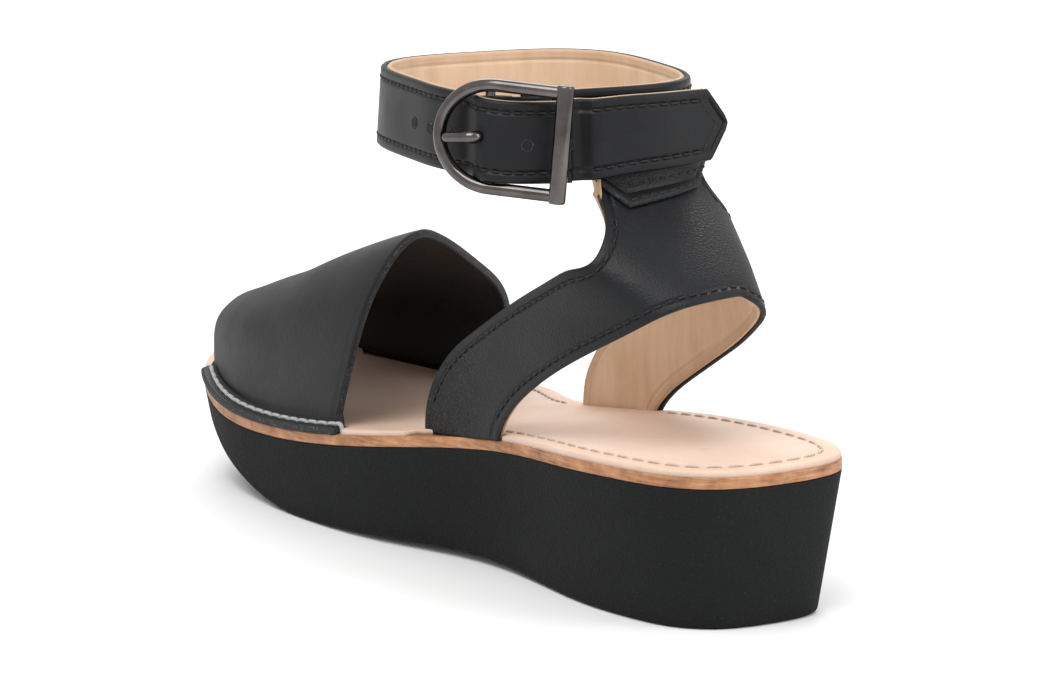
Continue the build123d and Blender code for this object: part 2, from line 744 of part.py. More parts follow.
# ---- stitching ----
# Each seam is a row of short blocks of thread, bedded a little way into the leather.
thread_bed = 0.15
fine_length = 2.5
fine_width = 0.6
fine_height = 0.5
fine_pitch = 3.3
cord_length = 4.4
cord_width = 0.9
cord_height = 0.7
cord_pitch = 6.0
flange_seam_inset = 1.7
cover_seam_inset = 5.2
fine_lift = 0.5 * fine_height - thread_bed
cord_lift = 0.5 * cord_height - thread_bed


def seam_places(inset, rise, start, end):
    """Places along the sole's edge on the height seat + rise, between two shares of its run."""
    seam = Spline(*outline_points(lambda x: inset), periodic=True)
    count = round(seam.length * (end - start) / cord_pitch)
    places = []
    for i in range(count):
        share = start + (end - start) * (i + 0.5) / count
        point = seam @ share
        run = seam % share
        slope = 0.5 * (seat_height(point.X + 1) - seat_height(point.X - 1))
        places.append(Plane(origin=(point.X, point.Y, seat_height(point.X) + rise),
                            x_dir=(run.X, run.Y, slope * run.X), z_dir=(-slope, 0, 1)))
    return places


def beyond(plane, places, gap):
    """Places at least gap in front of a plane."""
    return [place for place in places if plane.to_local_coords(place.origin).Z > gap]


flange_rise = board_thickness + vamp_leather + cord_lift
flange_places = beyond(rear_cut, seam_places(flange_seam_inset, flange_rise, 0, 1), 1.0)
flange_places = [place for place in flange_places if place.origin.X < 108.0]
with BuildPart() as vamp_flange_stitching:
    with Locations(*flange_places):
        Box(cord_length, cord_width, cord_height)
vamp_flange_stitching.part.label = "vamp_flange_stitching"
export_step(vamp_flange_stitching.part, "parts/vamp_flange_stitching.step")

cover_places = seam_places(cover_seam_inset, board_thickness + cover_thickness + cord_lift, 0, 1)
ahead_places = beyond(rear_cut, cover_places, -8.0)
cover_places = [place for place in cover_places if place not in ahead_places]
# The seam stops at the strap's feet.
cover_places = [place for place in cover_places
                if not (-16.0 if place.origin.Y > 0 else -42.0) < place.origin.X < 1.5]
with BuildPart() as footbed_stitching:
    with Locations(*cover_places):
        Box(cord_length, cord_width, cord_height)
footbed_stitching.part.label = "footbed_stitching"
export_step(footbed_stitching.part, "parts/footbed_stitching.step")


def paced_angles(start, end, lift, place=ring_plan):
    """Angles one fine pitch apart along a strap."""
    angles = [start]
    last = place(start, interpolate(lift, start), 0.0)
    angle = start
    while angle < end:
        angle += 0.1
        point = place(angle, interpolate(lift, angle), 0.0)
        if math.dist(point, last) >= fine_pitch:
            angles.append(angle)
            last = point
    return angles


seam_half = strap_half - stitch_inset
# The tower covers the loop's seams between these angles.
tower_start = 161.0
tower_end = 216.0
strap_places = []
for angle in paced_angles(bar_angle + 24.0, 360.0 + tail_root_angle - 3.0, strap_lift):
    if not tower_start < angle < tower_end:
        middle = -interpolate(lap_drop, angle)
        for height in (middle - seam_half, middle + seam_half):
            strap_places.append(strap_frame(angle, interpolate(strap_lift, angle) + fine_lift, height))
with BuildPart() as ankle_strap_stitching:
    with Locations(*strap_places):
        Box(fine_length, fine_width, fine_height)
ankle_strap_stitching.part.label = "ankle_strap_stitching"
export_step(ankle_strap_stitching.part, "parts/ankle_strap_stitching.step")

# The tail's seam follows its pointed end.
tip_slant = math.degrees(math.atan2(strap_half, tip_length))
tip_seam_point = stitch_inset / math.sin(math.radians(tip_slant))
tip_seam_run = seam_half / math.sin(math.radians(tip_slant))
tip_seam_back = tip_seam_point + seam_half / math.tan(math.radians(tip_slant))
tail_places = []
tail_seam_end = tail_tip_angle - (tip_seam_back + 1.5) / degree_arc
for angle in paced_angles(tail_root_angle + 9.0, tail_seam_end, tail_lift, tail_plan):
    middle = -interpolate(strap_drop, angle)
    for height in (middle - seam_half, middle + seam_half):
        tail_places.append(strap_frame(angle, interpolate(tail_lift, angle) + fine_lift, height, tail_plan))
for side in (-1, 1):
    for i in range(3):
        run = tip_seam_run * (i + 0.5) / 3
        back = tip_seam_point + run * math.cos(math.radians(tip_slant))
        height = side * run * math.sin(math.radians(tip_slant)) - strap_drop[-1][1]
        place = strap_frame(tail_tip_angle - back / degree_arc, tail_lift[-1][1] + fine_lift, height,
                            tail_plan)
        tail_places.append(place.rotated((0, 0, -side * tip_slant)))
with BuildPart() as strap_tail_stitching:
    with Locations(*tail_places):
        Box(fine_length, fine_width, fine_height)
strap_tail_stitching.part.label = "strap_tail_stitching"
export_step(strap_tail_stitching.part, "parts/strap_tail_stitching.step")


def heel_face(x, z, side):
    """Point of the heel strap's outer face below the tower, on one side of the sandal."""
    for low, high in zip(heel_levels, heel_levels[1:]):
        if z <= high[0]:
            break
    share = (z - low[0]) / (high[0] - low[0])
    below = heel_level_points(low[0], low[1], low[2], 0.0)
    above = heel_level_points(high[0], high[1], high[2], 0.0)
    plan = [(a[0] + share * (b[0] - a[0]), a[1] + share * (b[1] - a[1])) for a, b in zip(below, above)]
    if side < 0:
        plan.reverse()
    for (x0, y0), (x1, y1) in zip(plan, plan[1:]):
        if x1 <= x:
            break
    return Vector(x, y0 + (x - x0) / (x1 - x0) * (y1 - y0), z)


def heel_seam(points, start, end, side):
    """Thread places along one of the strap's edges, moved inward by the stitch inset."""
    edge = Spline(*points)
    count = round(edge.length * (end - start) / fine_pitch)
    places = []
    for i in range(count):
        share = start + (end - start) * (i + 0.5) / count
        point = edge @ share
        run = edge % share
        x = point.X - stitch_inset * run.Y
        z = point.Y + stitch_inset * run.X
        middle = heel_face(x, z, side)
        ahead = heel_face(x + 1.0, z, side) - middle
        upward = heel_face(x, z + 1.0, side) - middle
        outward = upward.cross(ahead).normalized() * side
        places.append(Plane(origin=middle + outward * fine_lift, x_dir=ahead * run.X + upward * run.Y,
                            z_dir=outward))
    return places


heel_places = []
for rear_edge, side in ((outer_rear_edge, 1), (inner_rear_edge, -1)):
    heel_places += heel_seam(front_edge, 0.12, 0.95, side) + heel_seam(rear_edge, 0.24, 0.90, side)
with BuildPart() as heel_strap_stitching:
    with Locations(*heel_places):
        Box(fine_length, fine_width, fine_height)
heel_strap_stitching.part.label = "heel_strap_stitching"
export_step(heel_strap_stitching.part, "parts/heel_strap_stitching.step")

# One row up the tab's inner shoulder and one across its foot: the strap's tail lies over the other shoulder.
tab_seam_inset = 2.2
tab_growth = tower_growth + skin_gap + leather
tab_seam = ((-tab_upper_half, tab_shoulder), (-tab_lower_half, tab_bottom), (tab_lower_half, tab_bottom))


def tab_place(y, z, turn):
    """Thread place on the tab's outer face, found from its rear view."""
    angle = 180.0
    for _ in range(4):
        radius = math.hypot(*ring_plan(angle, tab_growth, 0.0))
        angle = 180.0 - math.degrees(math.asin((y - ring_centre[1]) / radius))
    height = z - ring_centre[2] - 0.033 * radius
    return strap_frame(angle, tab_growth + fine_lift, height).rotated((0, 0, turn))


tab_places = []
for (y0, z0), (y1, z1) in zip(tab_seam, tab_seam[1:]):
    run = math.hypot(y1 - y0, z1 - z0)
    along = ((y1 - y0) / run, (z1 - z0) / run)
    count = max(2, int((run - 1.0) / fine_pitch))
    for i in range(count):
        share = (i + 0.5) / count * run
        tab_places.append(tab_place(tower_middle + y0 + along[0] * share - tab_seam_inset * along[1],
                                    z0 + along[1] * share + tab_seam_inset * along[0],
                                    -math.degrees(math.atan2(along[1], along[0]))))
with BuildPart() as heel_tab_stitching:
    with Locations(*tab_places):
        Box(fine_length, fine_width, fine_height)
heel_tab_stitching.part.label = "heel_tab_stitching"
export_step(heel_tab_stitching.part, "parts/heel_tab_stitching.step")
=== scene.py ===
import math
import bpy
import bmesh
import numpy as np
from mathutils import Matrix, Vector


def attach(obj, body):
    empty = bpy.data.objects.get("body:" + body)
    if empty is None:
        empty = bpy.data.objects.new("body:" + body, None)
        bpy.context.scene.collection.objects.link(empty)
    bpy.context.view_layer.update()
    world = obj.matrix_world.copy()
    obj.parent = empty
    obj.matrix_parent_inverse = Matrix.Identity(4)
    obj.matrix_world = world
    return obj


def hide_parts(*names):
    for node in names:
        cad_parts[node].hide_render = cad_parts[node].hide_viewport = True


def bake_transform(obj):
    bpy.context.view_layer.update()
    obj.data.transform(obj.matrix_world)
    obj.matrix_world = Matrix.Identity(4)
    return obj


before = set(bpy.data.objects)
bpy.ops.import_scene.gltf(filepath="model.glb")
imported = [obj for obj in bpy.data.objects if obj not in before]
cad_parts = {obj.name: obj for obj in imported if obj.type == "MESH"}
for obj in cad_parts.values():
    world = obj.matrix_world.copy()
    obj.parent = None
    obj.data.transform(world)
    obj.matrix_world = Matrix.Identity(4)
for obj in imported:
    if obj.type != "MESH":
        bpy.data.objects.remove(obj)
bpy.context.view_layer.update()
MM = 0.001

# ---- numbers shared with the CAD, in millimetres
SHIFT = -1.97
OUTLINE = ((-120.0, 18.0, 21.4), (-110.0, 26.8, 26.2), (-95.0, 30.9, 27.8), (-75.0, 32.3, 27.8),
           (-50.0, 29.8, 26.5), (-20.0, 29.7, 23.8), (10.0, 37.4, 28.6), (35.0, 40.4, 39.4),
           (60.0, 40.1, 44.6), (85.0, 37.6, 40.9), (105.0, 31.5, 31.3), (117.5, 23.9, 19.8))
HEEL_TIP, TOE_TIP = (-125.0, 0.0), (124.1, -6.0)
SEAT = ((-125.0, 38.1), (-62.5, 35.9), (0.0, 28.4), (55.0, 21.5), (125.0, 28.7))
LEAN_X, LEAN = (-125.0, -95.0, 0.0, 60.0, 125.0), (0.17, 0.14, 0.11, 0.11, 0.22)
BOARD, COVER, LEATHER, LINING, GAP, VAMP = 3.0, 1.5, 1.4, 1.1, 0.1, 2.2
STRAP_WIDTH, STITCH_INSET = 20.9, 2.8
LAYERS = LEATHER + GAP + LINING
# Small step for directions, and the size of a black thread: length, width and height.
NEAR = 0.3
BLACK_THREAD = (2.4, 0.62, 0.42)


def seat(x):
    """Height of the wedge's top face."""
    x = np.asarray(x, float)
    total = np.zeros_like(x)
    for i, (xi, zi) in enumerate(SEAT):
        weight = np.full_like(x, zi)
        for j, (xj, _) in enumerate(SEAT):
            if j != i:
                weight = weight * (x - xj) / (xi - xj)
        total = total + weight
    return total


def tread(x):
    """Height of the underside."""
    x = np.asarray(x, float)
    arch = 2.1 * np.sin(np.pi * np.clip((x + 65.0) / 115.0, 0, 1)) ** 2
    toe = 23.0 * np.clip((x - 50.0) / 75.0, 0, 2) ** 1.7
    return np.where(x <= 50.0, arch, toe)


# ---- curves
def cubic(t, values, at):
    """Natural cubic spline through values at the knots t, evaluated at the given places."""
    t, v, at = np.asarray(t, float), np.asarray(values, float), np.asarray(at, float)
    n = len(t)
    h = np.diff(t)
    a = np.zeros((n, n))
    b = np.zeros((n,) + v.shape[1:])
    a[0, 0] = a[-1, -1] = 1.0
    for i in range(1, n - 1):
        a[i, i - 1], a[i, i], a[i, i + 1] = h[i - 1], 2 * (h[i - 1] + h[i]), h[i]
        b[i] = 6 * ((v[i + 1] - v[i]) / h[i] - (v[i] - v[i - 1]) / h[i - 1])
    m = np.linalg.solve(a, b.reshape(n, -1)).reshape(b.shape)
    k = np.clip(np.searchsorted(t, at, side="right") - 1, 0, n - 2)
    shape = (-1,) + (1,) * (v.ndim - 1)
    hk = h[k].reshape(shape)
    lo = (t[k + 1] - at).reshape(shape)
    hi = (at - t[k]).reshape(shape)
    return (m[k] * lo ** 3 + m[k + 1] * hi ** 3) / (6 * hk) + (v[k] / hk - m[k] * hk / 6) * lo \
        + (v[k + 1] / hk - m[k + 1] * hk / 6) * hi


def knots(points):
    """Chord-length knots of a run of points."""
    points = np.asarray(points, float)
    return np.r_[0.0, np.cumsum(np.linalg.norm(np.diff(points, axis=0), axis=1))]


def unit(v):
    """Vectors scaled to length one."""
    return v / (np.linalg.norm(v) if v.ndim == 1 else np.linalg.norm(v, axis=-1, keepdims=True))


def sampled(at, t, values):
    """Rows of values, given at the knots t, interpolated at some places."""
    return np.stack([np.interp(at, t, values[:, k]) for k in range(values.shape[1])], 1)


def smooth_curve(points, count):
    points = np.asarray(points, float)
    t = knots(points)
    return cubic(t, points, np.linspace(0, t[-1], count))


def even(points, count):
    """A polyline's points spread evenly along it."""
    t = knots(points)
    return sampled(np.linspace(0, t[-1], count), t, points)


def resample(points, pitch):
    """Places one pitch apart along a polyline, and the direction there."""
    t = knots(points)
    count = max(2, int(round(t[-1] / pitch)))
    at = (np.arange(count) + 0.5) * t[-1] / count
    return sampled(at, t, points), unit(sampled(at + NEAR, t, points) - sampled(at - NEAR, t, points))


def softened(values, width):
    """Values smoothed along their run."""
    reach = int(3 * width)
    kernel = np.exp(-0.5 * (np.arange(-reach, reach + 1) / width) ** 2)
    padded = np.r_[np.full(reach, values[0]), values, np.full(reach, values[-1])]
    return np.convolve(padded, kernel / kernel.sum(), mode="valid")


# ---- meshes
def add_mesh(name, points, faces, attributes=None):
    mesh = bpy.data.meshes.new(name)
    mesh.from_pydata([tuple(p) for p in np.asarray(points, float) * MM], [], [tuple(f) for f in faces])
    mesh.update()
    for key, values in (attributes or {}).items():
        layer = mesh.attributes.new(key, "FLOAT", "POINT")
        layer.data.foreach_set("value", np.asarray(values, np.float32))
    mesh.polygons.foreach_set("use_smooth", [True] * len(mesh.polygons))
    piece = bpy.data.objects.new(name, mesh)
    bpy.context.scene.collection.objects.link(piece)
    return piece


def outward(piece):
    """Turns every face of a closed mesh to the outside."""
    work = bmesh.new()
    work.from_mesh(piece.data)
    bmesh.ops.recalc_face_normals(work, faces=work.faces)
    work.to_mesh(piece.data)
    work.free()
    return piece


def grid_faces(rows, columns, start=0, closed=False):
    faces = []
    last = columns if closed else columns - 1
    for i in range(rows - 1):
        for j in range(last):
            k = (j + 1) % columns
            faces.append((start + i * columns + j, start + i * columns + k,
                          start + (i + 1) * columns + k, start + (i + 1) * columns + j))
    return faces


def capped(rows, columns):
    """Faces of a closed tube with both ends filled."""
    ends = [tuple(range(columns)), tuple(range((rows - 1) * columns, rows * columns))[::-1]]
    return grid_faces(rows, columns, closed=True) + ends


def ring_faces(rows, columns):
    """Faces of a tube whose last row meets its first."""
    last = (rows - 1) * columns
    return grid_faces(rows, columns, closed=True) + [
        (last + j, last + (j + 1) % columns, (j + 1) % columns, j) for j in range(columns)]


def circle(sides):
    return np.linspace(0, 2 * np.pi, sides, endpoint=False)


def grid_normals(grid):
    """Normals of a grid of points, each the mean of its faces'."""
    face = np.cross(grid[1:, 1:] - grid[:-1, :-1], grid[1:, :-1] - grid[:-1, 1:])
    total = np.zeros_like(grid)
    for a in (slice(0, -1), slice(1, None)):
        for b in (slice(0, -1), slice(1, None)):
            total[a, b] += face
    return total / np.maximum(np.linalg.norm(total, axis=2, keepdims=True), 1e-9)


def gap_to(grid, lines):
    """Distance of every grid point to the nearest point of some lines."""
    rim = np.vstack(lines)
    return np.stack([np.sqrt(((row[:, None] - rim[None]) ** 2).sum(2)).min(1) for row in grid])


def shell(name, grid, out, thickness, rim, gap, attributes, materials):
    """A leather panel: a grid of points, and the same grid behind it, joined round a softly rounded cut edge."""
    share = 1 - np.clip(gap / rim, 0, 1)
    ease = (rim * (1 - np.sqrt(np.clip(1 - share ** 2, 0, 1))))[..., None]
    r, c = gap.shape
    front, back = grid - out * ease, grid - out * (thickness - ease)
    faces = grid_faces(r, c) + [f[::-1] for f in grid_faces(r, c, r * c)]
    border = [j for j in range(c)] + [i * c + c - 1 for i in range(1, r)]
    border += [(r - 1) * c + j for j in range(c - 2, -1, -1)] + [i * c for i in range(r - 2, 0, -1)]
    walls = [(a, b, b + r * c, a + r * c) for a, b in zip(border, border[1:] + border[:1])]
    points = np.vstack([front.reshape(-1, 3), back.reshape(-1, 3)])
    doubled = {key: np.r_[np.ravel(v), np.ravel(v)] for key, v in attributes.items()}
    piece = outward(add_mesh(name, points, faces + walls, attributes=doubled))
    for material in materials:
        piece.data.materials.append(material)
    # Faces on the rounded rim, and the walls, take the second material. On the leather pieces that is the edge
    # material, whose pale specks are partly a painted highlight.
    on_rim = gap.ravel() < 0.6 * rim
    for face in piece.data.polygons:
        if face.index >= len(faces) or all(on_rim[v % (r * c)] for v in face.vertices):
            face.material_index = 1
    return piece


def place(piece, body, nodes, materials):
    """Gives a piece its materials and its body, and hides the CAD nodes that it stands for."""
    for material in materials:
        piece.data.materials.append(material)
    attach(piece, body)
    if nodes:
        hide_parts(*nodes)
    return piece


def tube_mesh(path, radii, sides, up, squash=1.0):
    """Points and faces of a round bar along a path, with one radius per point."""
    path = np.asarray(path, float)
    radii = np.broadcast_to(np.asarray(radii, float), (len(path),))
    run = unit(np.gradient(path, axis=0))
    side = unit(np.cross(run, np.asarray(up, float)))
    top = np.cross(side, run)
    turn = circle(sides)
    points = (path[:, None] + radii[:, None, None] * (np.cos(turn)[None, :, None] * side[:, None]
              + squash * np.sin(turn)[None, :, None] * top[:, None])).reshape(-1, 3)
    return points, capped(len(path), sides)


def join(parts):
    """One set of points and faces from several."""
    points, faces = [], []
    for p, f in parts:
        faces += [tuple(i + len(points) for i in face) for face in f]
        points += [tuple(v) for v in p]
    return np.array(points), faces


def stitch_row(places, runs, outs, length, width, height):
    """Threads lying on a surface: each is a short bead that dives into the leather at both ends."""
    parts = []
    for c, t, n in zip(places, runs, outs):
        s = np.linspace(-1, 1, 7)
        lift = height * 0.75 * np.sqrt(np.clip(1 - s ** 4, 0, 1)) - height * 0.55
        path = c + np.outer(s * 0.5 * length, t) + np.outer(lift, n)
        radii = 0.5 * width * np.sqrt(np.clip(1 - (0.86 * s) ** 6, 0, 1))
        parts.append(tube_mesh(path, radii, 8, up=n, squash=min(1.0, height / width * 1.2)))
    return join(parts)


def add_parts(name, parts):
    """One piece from several closed meshes."""
    return outward(add_mesh(name, *join(parts)))


# ---- materials
class Shader:
    """A material with one Principled node, and a method for each kind of node that feeds it."""

    def __init__(self, name, colour, roughness, metallic=0.0):
        self.material = bpy.data.materials.new(name)
        self.material.use_nodes = True
        self.nodes, self.links = self.material.node_tree.nodes, self.material.node_tree.links
        self.done({"Base Color": colour, "Roughness": roughness, "Metallic": metallic})
        self.where = self.nodes.new("ShaderNodeTexCoord").outputs["Object"]

    def fill(self, socket, value):
        """Sets a socket to a colour or number, or links it."""
        if isinstance(value, tuple):
            socket.default_value = (*value, 1.0)
        elif isinstance(value, (int, float)):
            socket.default_value = value
        else:
            self.links.new(value, socket)

    def done(self, sockets):
        """Fills the Principled node's sockets and returns the material."""
        for key, value in sockets.items():
            self.fill(self.nodes["Principled BSDF"].inputs[key], value)
        return self.material

    def node(self, kind, sockets):
        node = self.nodes.new(kind)
        for key, value in sockets.items():
            self.fill(node.inputs[key], value)
        return node

    def noise(self, scale, detail=4.0, rough=0.55, stretch=None):
        where = self.where
        if stretch:
            mapping = self.node("ShaderNodeMapping", {"Vector": where})
            mapping.inputs["Scale"].default_value = stretch
            where = mapping.outputs["Vector"]
        return self.node("ShaderNodeTexNoise", {"Scale": scale, "Detail": detail, "Roughness": rough,
                                                "Vector": where}).outputs["Fac"]

    def cells(self, scale, feature="F1"):
        node = self.node("ShaderNodeTexVoronoi", {"Scale": scale, "Vector": self.where})
        node.feature = feature
        return node.outputs["Distance"]

    def ramp(self, source, stops):
        node = self.node("ShaderNodeValToRGB", {"Fac": source})
        band = node.color_ramp
        while len(band.elements) < len(stops):
            band.elements.new(0.5)
        for element, (at, colour) in zip(band.elements, stops):
            element.position = at
            element.color = (*colour, 1.0)
        return node.outputs["Color"]

    def mapped(self, source, low, high, to_low, to_high):
        return self.node("ShaderNodeMapRange", {"From Min": low, "From Max": high, "To Min": to_low,
                                                "To Max": to_high, "Value": source}).outputs["Result"]

    def varied(self, source, low, high):
        """A noise's middle range spread over low to high."""
        return self.mapped(source, 0.3, 0.7, low, high)

    def math(self, operation, *operands):
        node = self.nodes.new("ShaderNodeMath")
        node.operation = operation
        for slot, value in enumerate(operands):
            self.fill(node.inputs[slot], value)
        return node.outputs["Value"]

    def weighted(self, a, share, b, rest):
        return self.math("ADD", self.math("MULTIPLY", a, share), self.math("MULTIPLY", b, rest))

    def attribute(self, name):
        node = self.nodes.new("ShaderNodeAttribute")
        node.attribute_name = name
        return node.outputs["Fac"]

    def off_seam(self, edge):
        """Distance from the line of stitches."""
        return self.math("ABSOLUTE", self.math("SUBTRACT", edge, STITCH_INSET))

    def bump(self, height, distance, strength=1.0, below=None):
        node = self.node("ShaderNodeBump", {"Distance": distance, "Strength": strength, "Height": height})
        if below is not None:
            self.links.new(below, node.inputs["Normal"])
        return node.outputs["Normal"]

    def blend(self, factor, a, b):
        node = self.nodes.new("ShaderNodeMix")
        node.data_type = "RGBA"
        for slot, value in ((0, factor), (6, a), (7, b)):
            self.fill(node.inputs[slot], value)
        return node.outputs[2]


def upper_material():
    """Dyed leather: fine pores, soft mottling, pebbled creases where it bends and a groove along its seams, darkened
    with painted shade.
    """
    dark, light = (0.0050, 0.0053, 0.0062), (0.0098, 0.0103, 0.0118)
    s = Shader("upper_leather", dark, 0.44)
    mottle = s.noise(60.0, 5.0)
    colour = s.ramp(s.weighted(mottle, 0.7, s.noise(900.0, 3.0), 0.3), ((0.3, dark), (0.75, light)))
    pebble = s.mapped(s.cells(850.0, "DISTANCE_TO_EDGE"), 0.0, 0.25, 0.0, 1.0)
    normal = s.bump(s.cells(1500.0), 0.00006, 0.35)
    normal = s.bump(s.math("MULTIPLY", pebble, s.attribute("grain")), 0.00022, 0.8, normal)
    off = s.off_seam(s.attribute("edge"))
    normal = s.bump(s.mapped(off, 0.0, 0.9, 0.0, 1.0), 0.00035, 1.0, normal)
    # Painted shade: on the line of stitches the colour is blended halfway to near-black, fading out within half a
    # millimetre.
    colour = s.blend(s.mapped(off, 0.0, 0.45, 0.5, 0.0), colour, (0.002, 0.002, 0.002))
    return s.done({"Base Color": colour, "Normal": normal, "Roughness": s.varied(mottle, 0.39, 0.51),
                   "Specular IOR Level": 0.24})


def edge_fibre_and_highlight_material():
    # Raw leather fibre, dark with pale specks. The pale specks are partly the fibre's own colour and partly a painted
    # highlight along the rims.
    s = Shader("leather_edge_fibre_and_highlight", (0.05, 0.05, 0.055), 0.8)
    fibre = s.noise(1400.0, 4.0, 0.7)
    stops = ((0.40, (0.006, 0.0065, 0.0075)), (0.58, (0.02, 0.022, 0.025)), (0.72, (0.17, 0.185, 0.19)))
    return s.done({"Base Color": s.ramp(fibre, stops), "Normal": s.bump(fibre, 0.0003)})


def lining_material():
    s = Shader("lining_leather", (0.70, 0.47, 0.29), 0.55)
    tone = s.weighted(s.noise(45.0), 0.5, s.noise(220.0, 4.0, 0.6, (1.0, 1.0, 0.25)), 0.5)
    fine = s.noise(1300.0, 3.0)
    colour = s.ramp(tone, ((0.3, (0.50, 0.335, 0.205)), (0.5, (0.62, 0.435, 0.29)), (0.72, (0.71, 0.53, 0.385))))
    edge = s.attribute("edge")
    colour = s.blend(s.mapped(edge, 0.0, 3.4, 0.55, 0.0), colour, (0.42, 0.25, 0.14))
    groove = s.mapped(s.off_seam(edge), 0.0, 0.8, 0.0, 1.0)
    return s.done({"Base Color": colour, "Roughness": s.varied(fine, 0.48, 0.62),
                   "Normal": s.bump(groove, 0.0003, 1.0, s.bump(fine, 0.0001, 0.5))})


def footbed_material():
    """Natural leather with fine fibres, faint clouds, handling marks and a darker burnished rim."""
    s = Shader("footbed_leather", (0.80, 0.60, 0.47), 0.6)
    cloud, fibre = s.noise(28.0, 5.0), s.noise(500.0, 5.0, 0.65, (0.3, 1.0, 1.0))
    colour = s.ramp(s.weighted(cloud, 0.6, fibre, 0.4), ((0.28, (0.53, 0.36, 0.265)), (0.5, (0.62, 0.455, 0.355)),
                                                         (0.75, (0.69, 0.535, 0.44))))
    colour = s.blend(s.mapped(s.noise(160.0, 2.0, 0.5), 0.70, 0.80, 0.0, 0.45), colour, (0.52, 0.28, 0.16))
    colour = s.blend(s.mapped(s.attribute("edge"), 0.0, 2.2, 0.65, 0.0), colour, (0.66, 0.40, 0.25))
    return s.done({"Base Color": colour, "Roughness": s.varied(fibre, 0.5, 0.68),
                   "Normal": s.bump(cloud, 0.001, 0.4, s.bump(fibre, 0.00015, 0.6))})


def board_material():
    """Burnished fibre board: warm tan with darker blotches and fine layers along the edge."""
    s = Shader("board_edge", (0.50, 0.24, 0.10), 0.5)
    blotch, layer = s.noise(130.0, 6.0, 0.65), s.noise(420.0, 3.0, 0.6, (0.25, 0.25, 3.0))
    colour = s.ramp(s.weighted(blotch, 0.6, layer, 0.4),
                    ((0.33, (0.10, 0.035, 0.015)), (0.44, (0.30, 0.125, 0.05)),
                     (0.56, (0.46, 0.22, 0.10)), (0.72, (0.60, 0.36, 0.20))))
    return s.done({"Base Color": colour, "Normal": s.bump(layer, 0.0004, 0.8),
                   "Roughness": s.varied(blotch, 0.42, 0.65)})


def foam_material(name, base, light, scale):
    """Closed-cell foam: matt black with tiny paler cells and a fine pebbled face."""
    s = Shader(name, base, 0.82)
    dots, speck = s.cells(scale), s.noise(scale * 0.9, 2.0, 0.5)
    bright = s.math("MULTIPLY", s.mapped(speck, 0.60, 0.76, 0.0, 1.0), s.mapped(dots, 0.1, 0.55, 1.0, 0.2))
    colour = s.ramp(s.noise(20.0, 3.0), ((0.3, base), (0.7, tuple(1.5 * c for c in base))))
    return s.done({"Base Color": s.blend(bright, colour, light), "Roughness": s.varied(speck, 0.74, 0.92),
                   "Normal": s.bump(speck, 0.0002, 0.7, s.bump(dots, 0.00022, 0.7)), "Specular IOR Level": 0.2})


def metal_material():
    s = Shader("dark_nickel", (0.36, 0.345, 0.34), 0.13, 1.0)
    smear = s.noise(120.0)
    scratch = s.noise(1500.0, 2.0, 0.5, (1.0, 1.0, 0.08))
    return s.done({"Roughness": s.varied(smear, 0.08, 0.19), "Normal": s.bump(scratch, 0.00001, 0.3),
                   "Base Color": s.ramp(smear, ((0.3, (0.085, 0.076, 0.074)), (0.7, (0.15, 0.137, 0.133))))})


def thread_material(name, dark, light):
    s = Shader(name, dark, 0.6)
    wave = s.node("ShaderNodeTexWave", {"Scale": 700.0, "Distortion": 1.5, "Vector": s.where})
    wave.bands_direction = "DIAGONAL"
    twist = wave.outputs["Fac"]
    return s.done({"Base Color": s.ramp(twist, ((0.2, dark), (0.8, light))), "Normal": s.bump(twist, 0.00015)})


def hole_shade_material():
    # Near-black sheet: painted shade for the inside of a punched hole.
    s = Shader("punched_hole_painted_shade", (0.004, 0.004, 0.004), 0.9)
    return s.done({"Base Color": s.ramp(s.noise(900.0), ((0.3, (0.003, 0.003, 0.003)),
                                                         (0.7, (0.010, 0.009, 0.009))))})


def vamp_material():
    """Vamp leather with a darker folded edge along the instep."""
    s = Shader("vamp_leather_folded", (0.033, 0.033, 0.034), 0.55)
    mottle = s.noise(45.0, 6.0)
    colour = s.ramp(s.weighted(mottle, 0.55, s.noise(1000.0, 3.0), 0.45),
                    ((0.3, (0.0085, 0.0085, 0.0083)), (0.72, (0.0165, 0.0162, 0.0155))))
    colour = s.blend(s.mapped(s.attribute("edge"), 1.5, 2.1, 0.85, 0.0), colour, (0.006, 0.007, 0.009))
    return s.done({"Base Color": colour, "Roughness": s.varied(mottle, 0.46, 0.62), "Specular IOR Level": 0.24,
                   "Normal": s.bump(mottle, 0.0006, 0.5, s.bump(s.cells(1300.0), 0.00008, 0.5))})


upper = upper_material()
edge_fibre_and_highlight = edge_fibre_and_highlight_material()
lining_skin = lining_material()
footbed_skin = footbed_material()
board_fibre = board_material()
foam = foam_material("midsole_foam", (0.0058, 0.0062, 0.0065), (0.045, 0.046, 0.048), 1900.0)
tread_rubber = foam_material("outsole_rubber", (0.0055, 0.0055, 0.0058), (0.03, 0.03, 0.03), 1200.0)
nickel = metal_material()
thread_black = thread_material("thread_black", (0.0015, 0.0015, 0.002), (0.008, 0.008, 0.009))
thread_pale = thread_material("thread_pale", (0.26, 0.27, 0.28), (0.58, 0.585, 0.585))
thread_tan = thread_material("thread_tan", (0.36, 0.27, 0.21), (0.68, 0.58, 0.50))
hole_shade = hole_shade_material()

# ---- sole, board and footbed
HALF = 160


